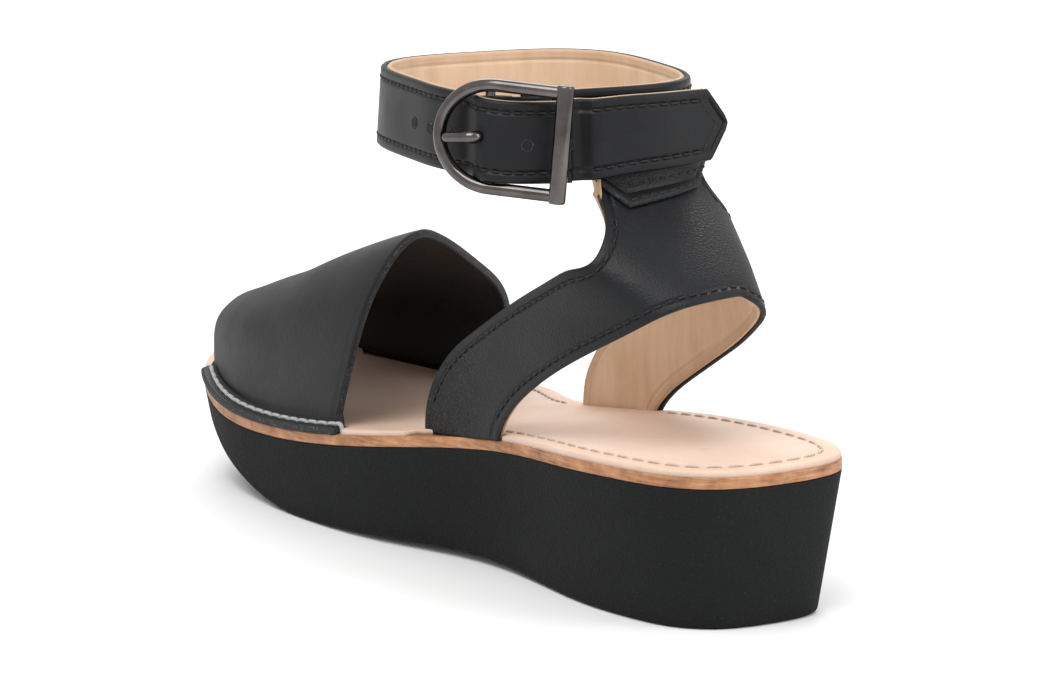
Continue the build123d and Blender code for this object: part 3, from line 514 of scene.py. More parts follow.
def outline_ring():
    """The footbed's outline, dense, with its inward normals: outer side from heel to toe, then back."""
    outer = [(x, o) for x, o, _ in OUTLINE]
    inner = [(x, -i) for x, _, i in reversed(OUTLINE)]
    ring = np.array([HEEL_TIP] + outer + [TOE_TIP] + inner)
    wrapped = np.vstack([ring[-4:], ring, ring[:5]])
    t = knots(wrapped)
    start, toe, end = t[4], t[4 + len(outer) + 1], t[4 + len(ring)]
    at = np.r_[np.linspace(start, toe, HALF, endpoint=False), np.linspace(toe, end, HALF, endpoint=False)]
    points = cubic(t, wrapped, at)
    run = unit(cubic(t, wrapped, at + 0.05) - cubic(t, wrapped, at - 0.05))
    points[:, 1] += SHIFT
    return points, np.stack([run[:, 1], -run[:, 0]], 1)


RING, NORMAL = outline_ring()
OUTER_SIDE = np.arange(2 * HALF) < HALF


def slab(name, rows, across=10):
    """A closed slab with the sole's outline. rows: inset and height functions from the bottom up."""
    n = 2 * HALF
    points, edge = [], []
    for inset, height in rows:
        d = inset(RING[:, 0])
        xy = RING + NORMAL * d[:, None]
        points.append(np.c_[xy, height(xy[:, 0])])
        edge.append(np.abs(d - rows[len(rows) // 2][0](RING[:, 0])))
    faces = grid_faces(len(rows), n, closed=True)
    count = len(rows) * n
    ends = [(points[k], rows[k][1], edge[k]) for k in (0, -1)]
    for (ring_points, height, e), first, flip in zip(ends, (0, (len(rows) - 1) * n), (True, False)):
        ladder = []
        for k in range(1, HALF):
            a, b = ring_points[k], ring_points[n - k]
            share = np.linspace(0, 1, across + 1)[1:-1]
            rung = a[None, :2] * (1 - share[:, None]) + b[None, :2] * share[:, None]
            ladder.append(list(range(count, count + len(share))))
            points.append(np.c_[rung, height(rung[:, 0])])
            width = np.linalg.norm(a[:2] - b[:2])
            edge.append(e[k] + width * np.minimum(share, 1 - share))
            count += len(share)
        rungs = [[first] * (across + 1)]
        for k in range(1, HALF):
            rungs.append([first + k] + ladder[k - 1] + [first + n - k])
        rungs.append([first + HALF] * (across + 1))
        for low, high in zip(rungs, rungs[1:]):
            for j in range(across):
                quad = [low[j], low[j + 1], high[j + 1], high[j]]
                face = [v for i, v in enumerate(quad) if v not in quad[:i]]
                if len(face) > 2:
                    faces.append(tuple(face[::-1] if flip else face))
    piece = add_mesh(name, np.vstack(points), faces, attributes={"edge": np.concatenate(edge)})
    return outward(piece)


def slab_rows(low, high, lean, round_low, round_high):
    """Rows of a slab whose wall leans in on its way down, with rounded lower and upper edges."""
    rows, bends = [], [0.5 * math.pi * k / 4 for k in range(5)]

    def row(extra, height):
        def inset_at(x):
            slope = np.interp(x, LEAN_X, LEAN) * lean
            return slope * (seat(x) - height(x)) + extra

        return inset_at, height

    for b in bends:
        rows.append(row(round_low * (1 - math.sin(b)), lambda x, b=b: low(x) + round_low * (1 - math.cos(b))))
    for k in range(1, 6):
        rows.append(row(0.0, lambda x, k=k: low(x) + round_low
                        + (high(x) - round_high - low(x) - round_low) * k / 6))
    for b in bends:
        rows.append(row(round_high * (1 - math.cos(b)),
                        lambda x, b=b: high(x) - round_high * (1 - math.sin(b))))
    return rows


outsole = slab("outsole_tread", slab_rows(tread, lambda x: tread(x) + 2.5, 1.0, 1.6, 0.05))
place(outsole, "root", ["outsole"], [tread_rubber])
midsole = slab("wedge_body", slab_rows(lambda x: tread(x) + 2.5, seat, 1.0, 0.05, 0.5))
place(midsole, "root", ["wedge_midsole"], [foam])
board = slab("insole_fibreboard", slab_rows(seat, lambda x: seat(x) + BOARD, 0.0, 0.35, 0.45))
place(board, "root", ["insole_board"], [board_fibre])


def step(x, start, end, soft=0.8):
    """Smooth 0-1-0 window between start and end."""
    return 1 / (1 + np.exp(-(x - start) / soft)) / (1 + np.exp((x - end) / soft))


def cover_inset(x):
    """Edge of the footbed cover: notched at the strap's feet, and inside the vamp's foot."""
    outer = 0.3 + 2.9 * step(x, -38.6, -2.4, 0.15) + 6.6 * step(x, 24.4, 112.0, 0.3)
    inner = 0.3 + 2.9 * step(x, -38.6, -2.4, 0.15) + 6.6 * step(x, 58.5, 112.0, 0.3)
    return np.where(OUTER_SIDE, outer, inner)


def cover_rows():
    low, high = (lambda x: seat(x) + BOARD), (lambda x: seat(x) + BOARD + COVER)
    rows = [(cover_inset, low), (cover_inset, lambda x: high(x) - 0.45)]
    for extra, drop in ((0.12, 0.2), (0.35, 0.05), (0.8, 0.0), (2.2, 0.0), (3.6, 0.0), (4.5, 0.0), (5.0, 0.0),
                        (5.6, 0.0), (6.6, 0.0), (8.5, 0.0)):
        rows.append((lambda x, extra=extra: cover_inset(x) + extra, lambda x, drop=drop: high(x) - drop))
    return rows


cover = slab("footbed_top", cover_rows(), across=14)
place(cover, "root", ["footbed_cover"], [footbed_skin])

# ---- ankle loop
CENTRE = np.array([-19.0, 4.0 + SHIFT, 119.3])
HALF_LENGTH, HALF_WIDTH, SQUARE, TURN = 42.0, 36.0, 3.2, -12.5
# Angle where the tail leaves the loop, and millimetres of strap per degree there.
STRAIGHT, ARC = 190.0, 0.79
up = np.array([0.033, -0.018, 1.0])
up = unit(up)
east = np.array([1.0, 0.0, -0.033])
east = unit(east - up * (east @ up))
north = np.cross(up, east)


def loop_point(angle, grow, height):
    """A point of the ankle loop in space: grow is measured outward from the strap's outer face."""
    angle, grow, height = np.broadcast_arrays(*(np.asarray(v, float) for v in (angle, grow, height)))
    local = np.radians(angle - TURN)
    spread = grow + 1.35 * (0.5 - height / STRAP_WIDTH)
    along = np.abs(np.cos(local)) / (HALF_LENGTH + spread)
    across = np.abs(np.sin(local)) / (HALF_WIDTH + spread)
    radius = (along ** SQUARE + across ** SQUARE) ** (-1 / SQUARE)
    a = np.radians(angle)
    return CENTRE + (radius * np.cos(a))[..., None] * east + (radius * np.sin(a))[..., None] * north \
        + height[..., None] * up


def tail_point(angle, grow, height):
    """The loop as far as the tail follows it, then straight on."""
    angle, grow, height = np.broadcast_arrays(*(np.asarray(v, float) for v in (angle, grow, height)))
    bent = loop_point(np.minimum(angle, STRAIGHT), grow, height)
    run = loop_point(STRAIGHT, grow, height) - loop_point(STRAIGHT - 1.0, grow, height)
    run /= np.linalg.norm(run, axis=-1, keepdims=True)
    return bent + run * (np.maximum(angle - STRAIGHT, 0.0) * ARC)[..., None]


BAR, LAP, ROOT, TIP = 131.0, 491.0, 160.5, 209.6
LIFT = ((141.1, 0.0), (LAP - 11.0, 0.0), (LAP - 8.6, 0.0), (LAP - 6.0, 0.5), (LAP - 3.0, 3.4), (LAP, 4.9),
        (LAP + 6.0, 4.9), (LAP + 16.0, 4.5), (LAP + 24.0, 4.2), (360.0 + ROOT, 4.2))
TAIL_LIFT = ((ROOT - 4.0, 4.2), (ROOT, 4.2), (ROOT + 1.6, 5.9), (ROOT + 3.2, 7.2), (STRAIGHT, 7.5), (TIP, 7.5))
DROP = ((LAP - 40.0, 0.0), (LAP - 20.0, 0.3), (LAP - 3.0, 0.8), (LAP + 6.0, 1.9), (LAP + 26.0, 2.4),
        (360.0 + ROOT, 1.9))
TAIL_DROP = ((ROOT - 4.0, 1.9), (ROOT, 1.9), (ROOT + 15.0, 0.9), (TIP, -0.1))


def table(rows, angles, width):
    rows = np.array(rows)
    return softened(np.interp(angles, rows[:, 0], rows[:, 1]), width)


def ribbon(name, angles, lift, middle, near, far, place_at, half=None):
    """A leather strap as a swept rounded strip between two depths inside its outer face."""
    half = np.full(len(angles), 0.5 * STRAP_WIDTH) if half is None else half
    rim = min(0.5, 0.5 * (far - near))

    def rounding(y):
        """Distance from the nearer edge at a share of the half-width, and how far the face falls there."""
        d = (1 - abs(y)) * half
        return d, rim * (1 - np.sqrt(np.clip(1 - (1 - np.clip(d / rim, 0, 1)) ** 2, 0, 1)))

    top, ring = np.linspace(-1, 1, 41), []
    for y in top:
        d, fall = rounding(y)
        dip = 0.22 * np.exp(-((d - STITCH_INSET) / 0.55) ** 2) if near == 0.0 else 0.0 * d
        ring.append((y * half, -near - fall - dip, d))
    for y in top[::-1]:
        d, fall = rounding(y)
        ring.append((y * half, -far + fall, d))
    count = len(ring)
    points = np.stack([place_at(angles, lift + depth, middle + y) for y, depth, _ in ring], 1).reshape(-1, 3)
    edges = np.stack([d for _, _, d in ring], 1).reshape(-1)
    faces = grid_faces(len(angles), count, closed=True)
    for first, flip in ((0, 1), ((len(angles) - 1) * count, -1)):
        for j in range(len(top) - 1):
            a, b, c, e = first + j, first + j + 1, first + count - 2 - j, first + count - 1 - j
            faces.append((a, b, c, e)[::flip])
    piece = outward(add_mesh(name, points, faces, attributes={"edge": edges}))
    # Faces on the rounded rim take the edge material, whose pale specks are partly a painted highlight.
    for face in piece.data.polygons:
        if all(edges[v] < 0.45 * rim for v in face.vertices):
            face.material_index = 1
    return piece


loop_angles = np.arange(141.2, 360.0 + ROOT - 3.3, 0.8)
loop_lift = table(LIFT, loop_angles, 1.6)
loop_drop = table(DROP, loop_angles, 4.0)
ankle = ribbon("ankle_strap_leather", loop_angles, loop_lift, -loop_drop, 0.0, LEATHER, loop_point)
place(ankle, "root", ["ankle_strap"], [upper, edge_fibre_and_highlight])
ankle_lining = ribbon("ankle_strap_inner", loop_angles, loop_lift, -loop_drop, LEATHER + 0.05, LAYERS, loop_point)
place(ankle_lining, "root", ["ankle_strap_lining"], [lining_skin, lining_skin])

tail_angles = np.r_[np.linspace(ROOT - 3.3, TIP - 8.0, 70), np.linspace(TIP - 7.8, TIP, 40)]
tail_lift = table(TAIL_LIFT, tail_angles, 1.6)
tail_drop = table(TAIL_DROP, tail_angles, 4.0)
to_tip = (TIP - tail_angles) * ARC
POINT = 5.8
tail_wide = np.interp(tail_angles, (ROOT, TIP - 8.0), (0.5 * STRAP_WIDTH, 0.5 * STRAP_WIDTH - 1.2))
tail_half = tail_wide * np.clip(np.tanh(1.35 * (to_tip + 0.3) / POINT) / math.tanh(1.35), 0.05, None)
tail_half = np.minimum(tail_wide, np.minimum(tail_half, tail_wide * (to_tip + 0.9) / (POINT + 0.5)))
blend_end = tail_point(ROOT + 7.0, 4.2, 0.0) * MM


def bend_tail(piece, nodes, materials):
    """A piece of the tail: gives it its materials, bakes its placement into its mesh and hides the CAD nodes that it
    stands for.
    """
    for material in materials:
        piece.data.materials.append(material)
    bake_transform(piece)
    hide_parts(*nodes)


tail = ribbon("strap_tail_leather", tail_angles, tail_lift, -tail_drop, 0.0, LEATHER, tail_point, tail_half)
bend_tail(tail, ["strap_tail"], [upper, edge_fibre_and_highlight])
tail_lining = ribbon("strap_tail_inner", tail_angles, tail_lift, -tail_drop, LEATHER + 0.05, LAYERS, tail_point,
                     tail_half)
bend_tail(tail_lining, ["strap_tail_lining"], [lining_skin, lining_skin])


def on_strap(angles, lift, heights, place_at):
    """Points and outward normals on a strap's face."""
    p = place_at(angles, lift, heights)
    along = place_at(angles + NEAR, lift, heights) - place_at(angles - NEAR, lift, heights)
    upward = place_at(angles, lift, heights + NEAR) - place_at(angles, lift, heights - NEAR)
    return p, unit(np.cross(along, upward))


def strap_spot(angle, lift, height, reach=NEAR):
    """Point, outward normal and along-strap direction at one place on the ankle strap."""
    p, out = on_strap(np.array([angle]), lift, np.array([height]), loop_point)
    along = loop_point(angle + reach, lift, height) - loop_point(angle - reach, lift, height)
    return p[0], out[0], unit(along)


def strap_stitches(angles, lift, middle, place_at, edges):
    parts = []
    for offset in edges:
        path, out = on_strap(angles, lift, middle + offset, place_at)
        at, run = resample(path, 3.1)
        t = knots(path)
        s = knots(at) + 0.5 * t[-1] / len(at)
        normals = sampled(s, t, out)
        parts.append(stitch_row(at - normals * 0.12, run, normals, 2.35, 0.62, 0.42))
    return parts


SEAM = 0.5 * STRAP_WIDTH - STITCH_INSET
shown = loop_angles > BAR + 16.0
parts = strap_stitches(loop_angles[shown], loop_lift[shown], -loop_drop[shown], loop_point, (-SEAM, SEAM))
piece = add_parts("ankle_strap_thread", parts)
place(piece, "root", ["ankle_strap_stitching"], [thread_black])

keep = (tail_angles > ROOT + 2.0) & (to_tip > 8.2)
tail_seam = tail_wide[keep] - STITCH_INSET
parts = strap_stitches(tail_angles[keep], tail_lift[keep], -tail_drop[keep], tail_point, (-tail_seam, tail_seam))
for side in (-1, 1):
    back = np.linspace(3.3, 8.2, 30)
    rise = side * tail_seam[-1] * (back - 3.3) / 4.9
    spots = TIP - back / ARC
    parts += strap_stitches(spots, np.full(30, 7.5), rise - np.interp(spots, tail_angles, tail_drop), tail_point,
                            (0.0,))
piece = add_parts("strap_tail_thread", parts)
bend_tail(piece, ["strap_tail_stitching"], [thread_black])


ROUND = 28


def disc(centre, out, across, radius, long=0.0):
    """A shallow dark dish lying on the strap: painted shade standing for the inside of a punched hole seen from
    outside.
    """
    side = np.cross(out, across)
    turn, rings, points = circle(ROUND), 5, []
    for r in range(rings):
        share = 1 - r / rings
        stretch = np.sign(np.cos(turn)) * long * 0.5
        points.append(centre + out * (0.06 * (1 if r else 0.2))
                      + np.outer(np.cos(turn) * radius * share + stretch, across)
                      + np.outer(np.sin(turn) * radius * share, side))
    bottom = tuple(range((rings - 1) * ROUND, rings * ROUND))
    return np.vstack(points), grid_faces(rings, ROUND, closed=True) + [bottom]


def rim_ring(centre, out, across, radius):
    """The raised lip round a punched hole."""
    side, small, thick = np.cross(out, across), circle(8), 0.22
    points = []
    for a in circle(ROUND):
        radial = math.cos(a) * across + math.sin(a) * side
        points.append(centre + np.outer(np.cos(small) * thick, radial) + np.outer(np.sin(small) * thick, out)
                      + radial * radius)
    return np.vstack(points), ring_faces(ROUND, 8)


dark, lips = [], []
for step_index in (-3.3, -2.2, -1.1, 1, 2):
    angle = LAP + step_index * 10.0 / ARC
    lift_here = float(np.interp(angle, loop_angles, loop_lift))
    height = -float(np.interp(angle, loop_angles, loop_drop)) - 0.6
    spot = strap_spot(angle, lift_here, height)
    dark.append(disc(*spot, 1.25))
    lips.append(rim_ring(*spot, 1.45))
piece = add_mesh("strap_hole_shade_discs", *join(dark))
place(piece, "root", [], [hole_shade])
# The lips take the pale-specked edge material so that they read lighter than the strap: a painted highlight.
piece = add_parts("strap_hole_lips", lips)
place(piece, "root", [], [edge_fibre_and_highlight])
slot_angle = LAP - 1.0
slot_lift = float(np.interp(slot_angle, loop_angles, loop_lift))
p, out, across = strap_spot(slot_angle, slot_lift, -0.9)
piece = add_mesh("prong_hole_shade_disc", *disc(p - across * 1.4, out, across, 1.5, long=2.4))
place(piece, "root", [], [hole_shade])

# ---- heel strap
FOOT_OUTER, FOOT_INNER = 29.3, 23.9
U_HALF, U_CENTRE, U_LENGTH, U_SQUARE = 0.5 * (FOOT_OUTER + FOOT_INNER), 0.5 * (FOOT_OUTER - FOOT_INNER) + SHIFT, \
    64.0, 0.85
U_ANGLES = (75, 55, 36, 18, 0, -18, -36, -55, -75)
U_LEGS = (8.0, -5.0, -18.0, -31.0, -44.0)
LOOP_ANGLES = (35, 49, 63, 77, 91, 107, 124, 142, 160, 178, 196, 214, 230, 247, 264, 278, 292, 306, 320)
TOWER_GROWTH, TOWER_MIDDLE, TOWER_TOP = 2.75, -1.0 + SHIFT, 124.0


def u_section(back, level, share):
    """The heel strap's plan at a level, part of the way from a U to the ankle loop."""
    centre = back + U_LENGTH
    points = [(x, U_CENTRE + U_HALF) for x in U_LEGS]
    for angle in U_ANGLES:
        a = math.radians(angle)
        points.append((centre - U_LENGTH * math.cos(a) ** U_SQUARE,
                       U_CENTRE + math.copysign(U_HALF * abs(math.sin(a)) ** U_SQUARE, angle)))
    points += [(x, U_CENTRE - U_HALF) for x in reversed(U_LEGS)]
    points = np.array(points)
    high = loop_point(np.array(LOOP_ANGLES), TOWER_GROWTH, -15.0)[:, :2]
    points = points + share * (high - points)
    return np.c_[points, np.full(len(points), level)]


LEVELS = np.array([18.0, 76.0, 84.0, 92.0, 105.7, 109.9, 128.7])
SECTIONS = [u_section(-108.0, 18.0, 0.0), u_section(-107.5, 76.0, 0.0), u_section(-107.5, 84.0, 0.18),
            u_section(-107.5, 92.0, 0.47)]
SECTIONS += [loop_point(np.array(LOOP_ANGLES), TOWER_GROWTH, h) for h in (-15.0, -10.8, 8.0)]
U_KNOTS = knots(0.5 * (SECTIONS[1] + SECTIONS[4]))
COLUMNS = 900
U_FINE = np.linspace(0, U_KNOTS[-1], COLUMNS)
FINE = np.stack([cubic(U_KNOTS, section, U_FINE) for section in SECTIONS])
Z_FINE = np.arange(20.0, 128.0, 0.5)
stack = np.stack([[np.interp(Z_FINE, LEVELS, FINE[:, i, k]) for k in range(3)] for i in range(COLUMNS)])
SURFACE = np.stack([[softened(stack[i, k], 5.0) for k in range(3)] for i in range(COLUMNS)])


def heel_point(run, z):
    """Point of the heel strap's outer face at a run along the U and a level."""
    run, z = np.broadcast_arrays(np.asarray(run, float), np.asarray(z, float))
    i = np.clip(run / U_FINE[1], 0, COLUMNS - 1.001)
    j = np.clip((z - Z_FINE[0]) / 0.5, 0, len(Z_FINE) - 1.001)
    i0, j0 = i.astype(int), j.astype(int)
    a, b = (i - i0)[..., None], (j - j0)[..., None]
    return (SURFACE[i0, :, j0] * (1 - a) * (1 - b) + SURFACE[i0 + 1, :, j0] * a * (1 - b)
            + SURFACE[i0, :, j0 + 1] * (1 - a) * b + SURFACE[i0 + 1, :, j0 + 1] * a * b)


def run_at(z, column, value, side):
    """Run along the U where x or y takes a value, on the outer (1) or inner (-1) side."""
    line = heel_point(U_FINE, np.full(COLUMNS, z))
    half = line[:, 0].argmin()
    part = slice(0, half + 1) if side > 0 else slice(half, COLUMNS)
    along, runs = line[part, column], U_FINE[part]
    if along[0] > along[-1]:
        along, runs = along[::-1], runs[::-1]
    return float(np.interp(value, along, runs))


FRONT = smooth_curve([(-3.5, 30.0), (-4.0, 40.0), (-7.5, 47.0), (-15.0, 55.5), (-29.0, 65.0), (-48.0, 76.0),
                      (-63.0, 83.0), (-76.0, 89.5)], 200)
REAR = {1: smooth_curve([(-125.0, 88.0), (-105.0, 85.0), (-99.5, 80.5), (-88.5, 73.0), (-77.5, 67.0),
                         (-66.0, 60.8), (-54.0, 53.5), (-43.0, 45.0), (-38.0, 37.5), (-37.0, 30.0)], 300)[::-1],
        -1: smooth_curve([(-125.0, 88.0), (-105.0, 85.0), (-99.5, 77.8), (-88.5, 70.0), (-77.5, 63.4),
                          (-66.0, 57.0), (-54.0, 50.0), (-43.0, 42.8), (-37.5, 36.5), (-36.0, 30.0)], 300)[::-1]}
TOWER = smooth_curve([(33.0, 87.6), (30.9, 88.8), (29.0, 90.3), (27.0, 92.3), (25.0, 94.3), (23.0, 96.2),
                      (21.0, 98.1), (19.3, 100.3), (17.8, 103.3), (16.7, 107.0), (16.1, 112.0),
                      (16.0, TOWER_TOP)], 160)


def smooth_path(points, width):
    kept = points.copy()
    for k in range(points.shape[1]):
        kept[:, k] = softened(points[:, k], width)
    fade = np.clip(np.minimum(np.arange(len(points)), np.arange(len(points))[::-1]) / (3.0 * width), 0, 1)[:, None]
    return kept * fade + points * (1 - fade)


def strap_side(side):
    """Front and rear edges of one side in the plane of run and level, from the foot to the middle of the back."""
    top = [(run_at(z, 0, x, side), z) for x, z in FRONT if z > seat(x) + BOARD and z < 88.0]
    for y, z in TOWER:
        run = run_at(z, 1, TOWER_MIDDLE + side * y, side)
        if side * (run - top[-1][0]) > 0.1 or z > 99.0:
            top.append((run, z))
    top = np.array(top)
    middle = run_at(90.0, 1, TOWER_MIDDLE, side)
    whole = smooth_path(even(top, 400), 6.0)
    corner = int(np.argmax(whole[:, 1] > 96.0))
    strap_part = even(whole[:corner], 120)
    side_part = even(whole[corner - 1:], 30)[1:]
    crest = np.stack([np.linspace(side_part[-1, 0], middle, 12)[1:], np.full(11, TOWER_TOP)], 1)
    bottom = [(run_at(z, 0, x, side), z) for x, z in REAR[side] if x > -107.0 and z > seat(x) + BOARD]
    bottom = np.array([b for b in bottom if side * (middle - b[0]) > 9.0])
    bottom = smooth_path(even(np.vstack([bottom, [middle - side * 4.0, 82.3], [middle, 82.4]]), 300), 9.0)
    return strap_part, side_part, crest, bottom


def strap_grid():
    """Front and rear edges of the whole strap, and the columns in one side's strap and tower."""
    halves = []
    for side in (1, -1):
        strap_part, side_part, crest, bottom = strap_side(side)
        upper_line = np.vstack([strap_part, side_part, crest])
        t = knots(bottom)
        # The last 24 mm of the rear edge lie below the tower, and the last 11 mm below its crest.
        tower_from, crest_from = 1 - 24.0 / t[-1], 1 - 11.0 / t[-1]
        share = np.r_[np.linspace(0, tower_from, len(strap_part)),
                      np.linspace(tower_from, crest_from, len(side_part) + 1)[1:],
                      np.linspace(crest_from, 1, len(crest) + 1)[1:]]
        lower_line = sampled(share * t[-1], t, bottom)
        halves.append((upper_line, lower_line, len(strap_part), len(side_part)))
    tops = np.vstack([halves[0][0], halves[1][0][::-1][1:]])
    lows = np.vstack([halves[0][1], halves[1][1][::-1][1:]])
    return tops, lows, halves[0][2], halves[0][3]


tops, lows, strap_columns, side_columns = strap_grid()
shares = np.r_[0, 0.006, 0.02, np.linspace(0.045, 0.955, 34), 0.98, 0.994, 1]
flat = tops[None] * (1 - shares[:, None, None]) + lows[None] * shares[:, None, None]
heel = heel_point(flat[..., 0], flat[..., 1])
edge = gap_to(heel, [heel[0], heel[-1]])
heel_out = grid_normals(heel)
for _ in range(6):
    heel_out[1:-1] = 0.25 * heel_out[:-2] + 0.5 * heel_out[1:-1] + 0.25 * heel_out[2:]
    heel_out[:, 1:-1] = 0.25 * heel_out[:, :-2] + 0.5 * heel_out[:, 1:-1] + 0.25 * heel_out[:, 2:]
heel_out = unit(heel_out)
if (heel_out * (heel - np.array([-44.0, U_CENTRE, 80.0])))[..., :2].sum(2).mean() < 0:
    heel_out = -heel_out
rows, columns = heel.shape[:2]
bend_zone = np.exp(-((heel[..., 0] + 12.0) / 16.0) ** 2) * np.clip((72.0 - heel[..., 2]) / 20.0, 0, 1) * 0.8 + 0.25
soft_edge = 0.12 * np.exp(-((edge - STITCH_INSET) / 0.6) ** 2)
ripple = 0.35 * np.sin(heel[..., 0] / 9.0 + heel[..., 2] / 6.0) * np.clip((heel[..., 2] - 40.0) / 20.0, 0, 1) \
    * np.clip((86.0 - heel[..., 2]) / 10.0, 0, 1)
outer_face = heel - heel_out * soft_edge[..., None] + heel_out * ripple[..., None]
piece = shell("heel_strap_leather", outer_face, heel_out, LEATHER, 0.45, edge,
              {"edge": edge, "grain": bend_zone}, (upper, edge_fibre_and_highlight))
place(piece, "root", ["heel_strap"], [])
inner_shares = (0.02 + 0.96 * shares)[:, None, None]
inner_flat = tops[None] * (1 - inner_shares) + lows[None] * inner_shares
inner_face = heel_point(inner_flat[..., 0], inner_flat[..., 1]) - heel_out * (LEATHER + 0.06 - ripple[..., None])
piece = shell("heel_strap_inner", inner_face, heel_out, LINING, 0.35, edge, {"edge": edge},
              (lining_skin, lining_skin))
place(piece, "root", ["heel_strap_lining"], [])


def inset_line(from_top, distance, first, last):
    """The line on the heel strap at a distance from its front or rear edge."""
    line, outs, way, half = [], [], 1 if from_top else -1, rows // 2
    for k in range(first, last):
        e, points, normals = edge[::way, k], outer_face[::way, k], heel_out[::way, k]
        place_at = int(np.argmax(e[:half] >= distance)) if (e[:half] >= distance).any() else half - 1
        place_at = max(place_at, 1)
        share = (distance - e[place_at - 1]) / max(1e-6, e[place_at] - e[place_at - 1])
        share = min(max(share, 0), 1)
        line.append(points[place_at - 1] * (1 - share) + points[place_at] * share)
        outs.append(normals[place_at])
    line = np.array(line)
    return np.stack([softened(line[:, k], 1.2) for k in range(3)], 1)[2:-2], np.array(outs)[2:-2]


def seam_on(line, outs, pitch, length, width, height):
    at, run = resample(line, pitch)
    t = knots(line)
    s = (np.arange(len(at)) + 0.5) * t[-1] / len(at)
    return stitch_row(at, run, unit(sampled(s, t, outs)), length, width, height)


parts = []
tab_column = strap_columns + side_columns - 12
for from_top, first, last in ((True, 7, tab_column), (True, columns - tab_column, columns - 7),
                              (False, 8, columns - 8)):
    parts.append(seam_on(*inset_line(from_top, STITCH_INSET, first, last), 3.2, *BLACK_THREAD))
piece = add_parts("heel_strap_thread", parts)
place(piece, "root", ["heel_strap_stitching"], [thread_black])

# ---- tab over the join of tower and ankle strap
TAB_LOW, TAB_TOP, TAB_SHOULDER, TAB_HALF_LOW, TAB_HALF = 103.2, 121.0, 109.2, 12.0, 17.5
TAB_RISE, TAB_INSET = TOWER_GROWTH + 1.5, 2.2


def tab_half(z):
    """Half-width of the tab at a level."""
    return np.interp(z, (TAB_LOW, TAB_SHOULDER), (TAB_HALF_LOW, TAB_HALF))


def on_tab(y, z, grow):
    """Point of the tab from its rear view, and the outward direction there."""
    y, z = np.broadcast_arrays(np.asarray(y, float), np.asarray(z, float))
    runs, rear = [], U_FINE[150:750]
    for a, b in zip(y.ravel(), z.ravel()):
        line = heel_point(rear, np.full(len(rear), b))
        runs.append(np.interp(-(TOWER_MIDDLE + a), -line[:, 1], rear))
    runs = np.array(runs).reshape(y.shape)
    here = heel_point(runs, z)
    a = heel_point(runs + 0.8, z) - heel_point(runs - 0.8, z)
    b = heel_point(runs, z + 0.8) - heel_point(runs, z - 0.8)
    out = unit(np.cross(a, b))
    out = out * np.where(out[..., :1] > 0, -1.0, 1.0)
    return here + out * (grow - TOWER_GROWTH), out


tab_z = np.r_[TAB_LOW, TAB_LOW + 0.3, np.linspace(TAB_LOW + 1.0, TAB_TOP - 1.0, 24), TAB_TOP - 0.3, TAB_TOP]
tab_share = np.r_[-1, -0.985, np.linspace(-0.95, 0.95, 34), 0.985, 1]
grid_z = np.repeat(tab_z[:, None], len(tab_share), 1)
grid_y = tab_half(grid_z) * tab_share[None]


def tab_slant(y, z):
    """The tab's lower edge runs down towards the outer side; its top stays level."""
    return z - 0.115 * (y + 4.0) * (TAB_TOP - z) / (TAB_TOP - TAB_LOW)


tab, tab_out = on_tab(grid_y, tab_slant(grid_y, grid_z), TAB_RISE)
slant = np.hypot(TAB_HALF - TAB_HALF_LOW, TAB_SHOULDER - TAB_LOW)
to_side = np.where(grid_z < TAB_SHOULDER, (tab_half(grid_z) - abs(grid_y)) * (TAB_SHOULDER - TAB_LOW) / slant,
                   TAB_HALF - abs(grid_y))
tab_edge = np.minimum(to_side, grid_z - TAB_LOW)
piece = shell("heel_tab_leather", tab - tab_out * (0.12 * np.exp(-((tab_edge - TAB_INSET) / 0.6) ** 2))[..., None],
              tab_out, LEATHER, 0.45, np.minimum(tab_edge, TAB_TOP - grid_z),
              {"edge": tab_edge + STITCH_INSET - TAB_INSET, "grain": 0.2 + 0 * tab_edge}, (upper, edge_fibre_and_highlight))
place(piece, "root", ["heel_tab"], [])


def tab_seam(corners):
    corners = even(np.array(corners, float), 80)
    line, outs = on_tab(corners[:, 0], tab_slant(corners[:, 0], corners[:, 1]), TAB_RISE)
    return seam_on(line, outs, 3.1, 2.3, 0.62, 0.42)


parts = [tab_seam(((15.0, 119.0), (15.0, 111.4), (11.6, 107.4), (-15.0, 107.4), (-15.0, 119.0))),
         tab_seam(((11.6, 104.0), (-11.6, 104.0)))]
piece = add_parts("heel_tab_thread", parts)
place(piece, "root", ["heel_tab_stitching"], [thread_black])

# ---- vamp
WALL_INSET = 3.7
RIDGE = np.array(((8.0, 85.5, 15.0), (30.0, 79.0, 13.5), (55.0, 70.2, 11.5), (80.0, 61.0, 9.5), (102.0, 53.5, 7.0),
                  (121.0, 47.5, 5.0)))
ARCH_OUTER = ((1.0, 0.0), (1.02, 0.18), (1.02, 0.36), (1.0, 0.55), (0.92, 0.70), (0.76, 0.82), (0.54, 0.92),
              (0.27, 0.98))
ARCH_INNER = ((0.0, 1.0), (0.17, 0.975), (0.36, 0.915), (0.61, 0.805), (0.84, 0.665), (0.96, 0.5), (1.0, 0.30),
              (1.0, 0.14), (1.0, 0.0))
outline_table = np.array(OUTLINE)


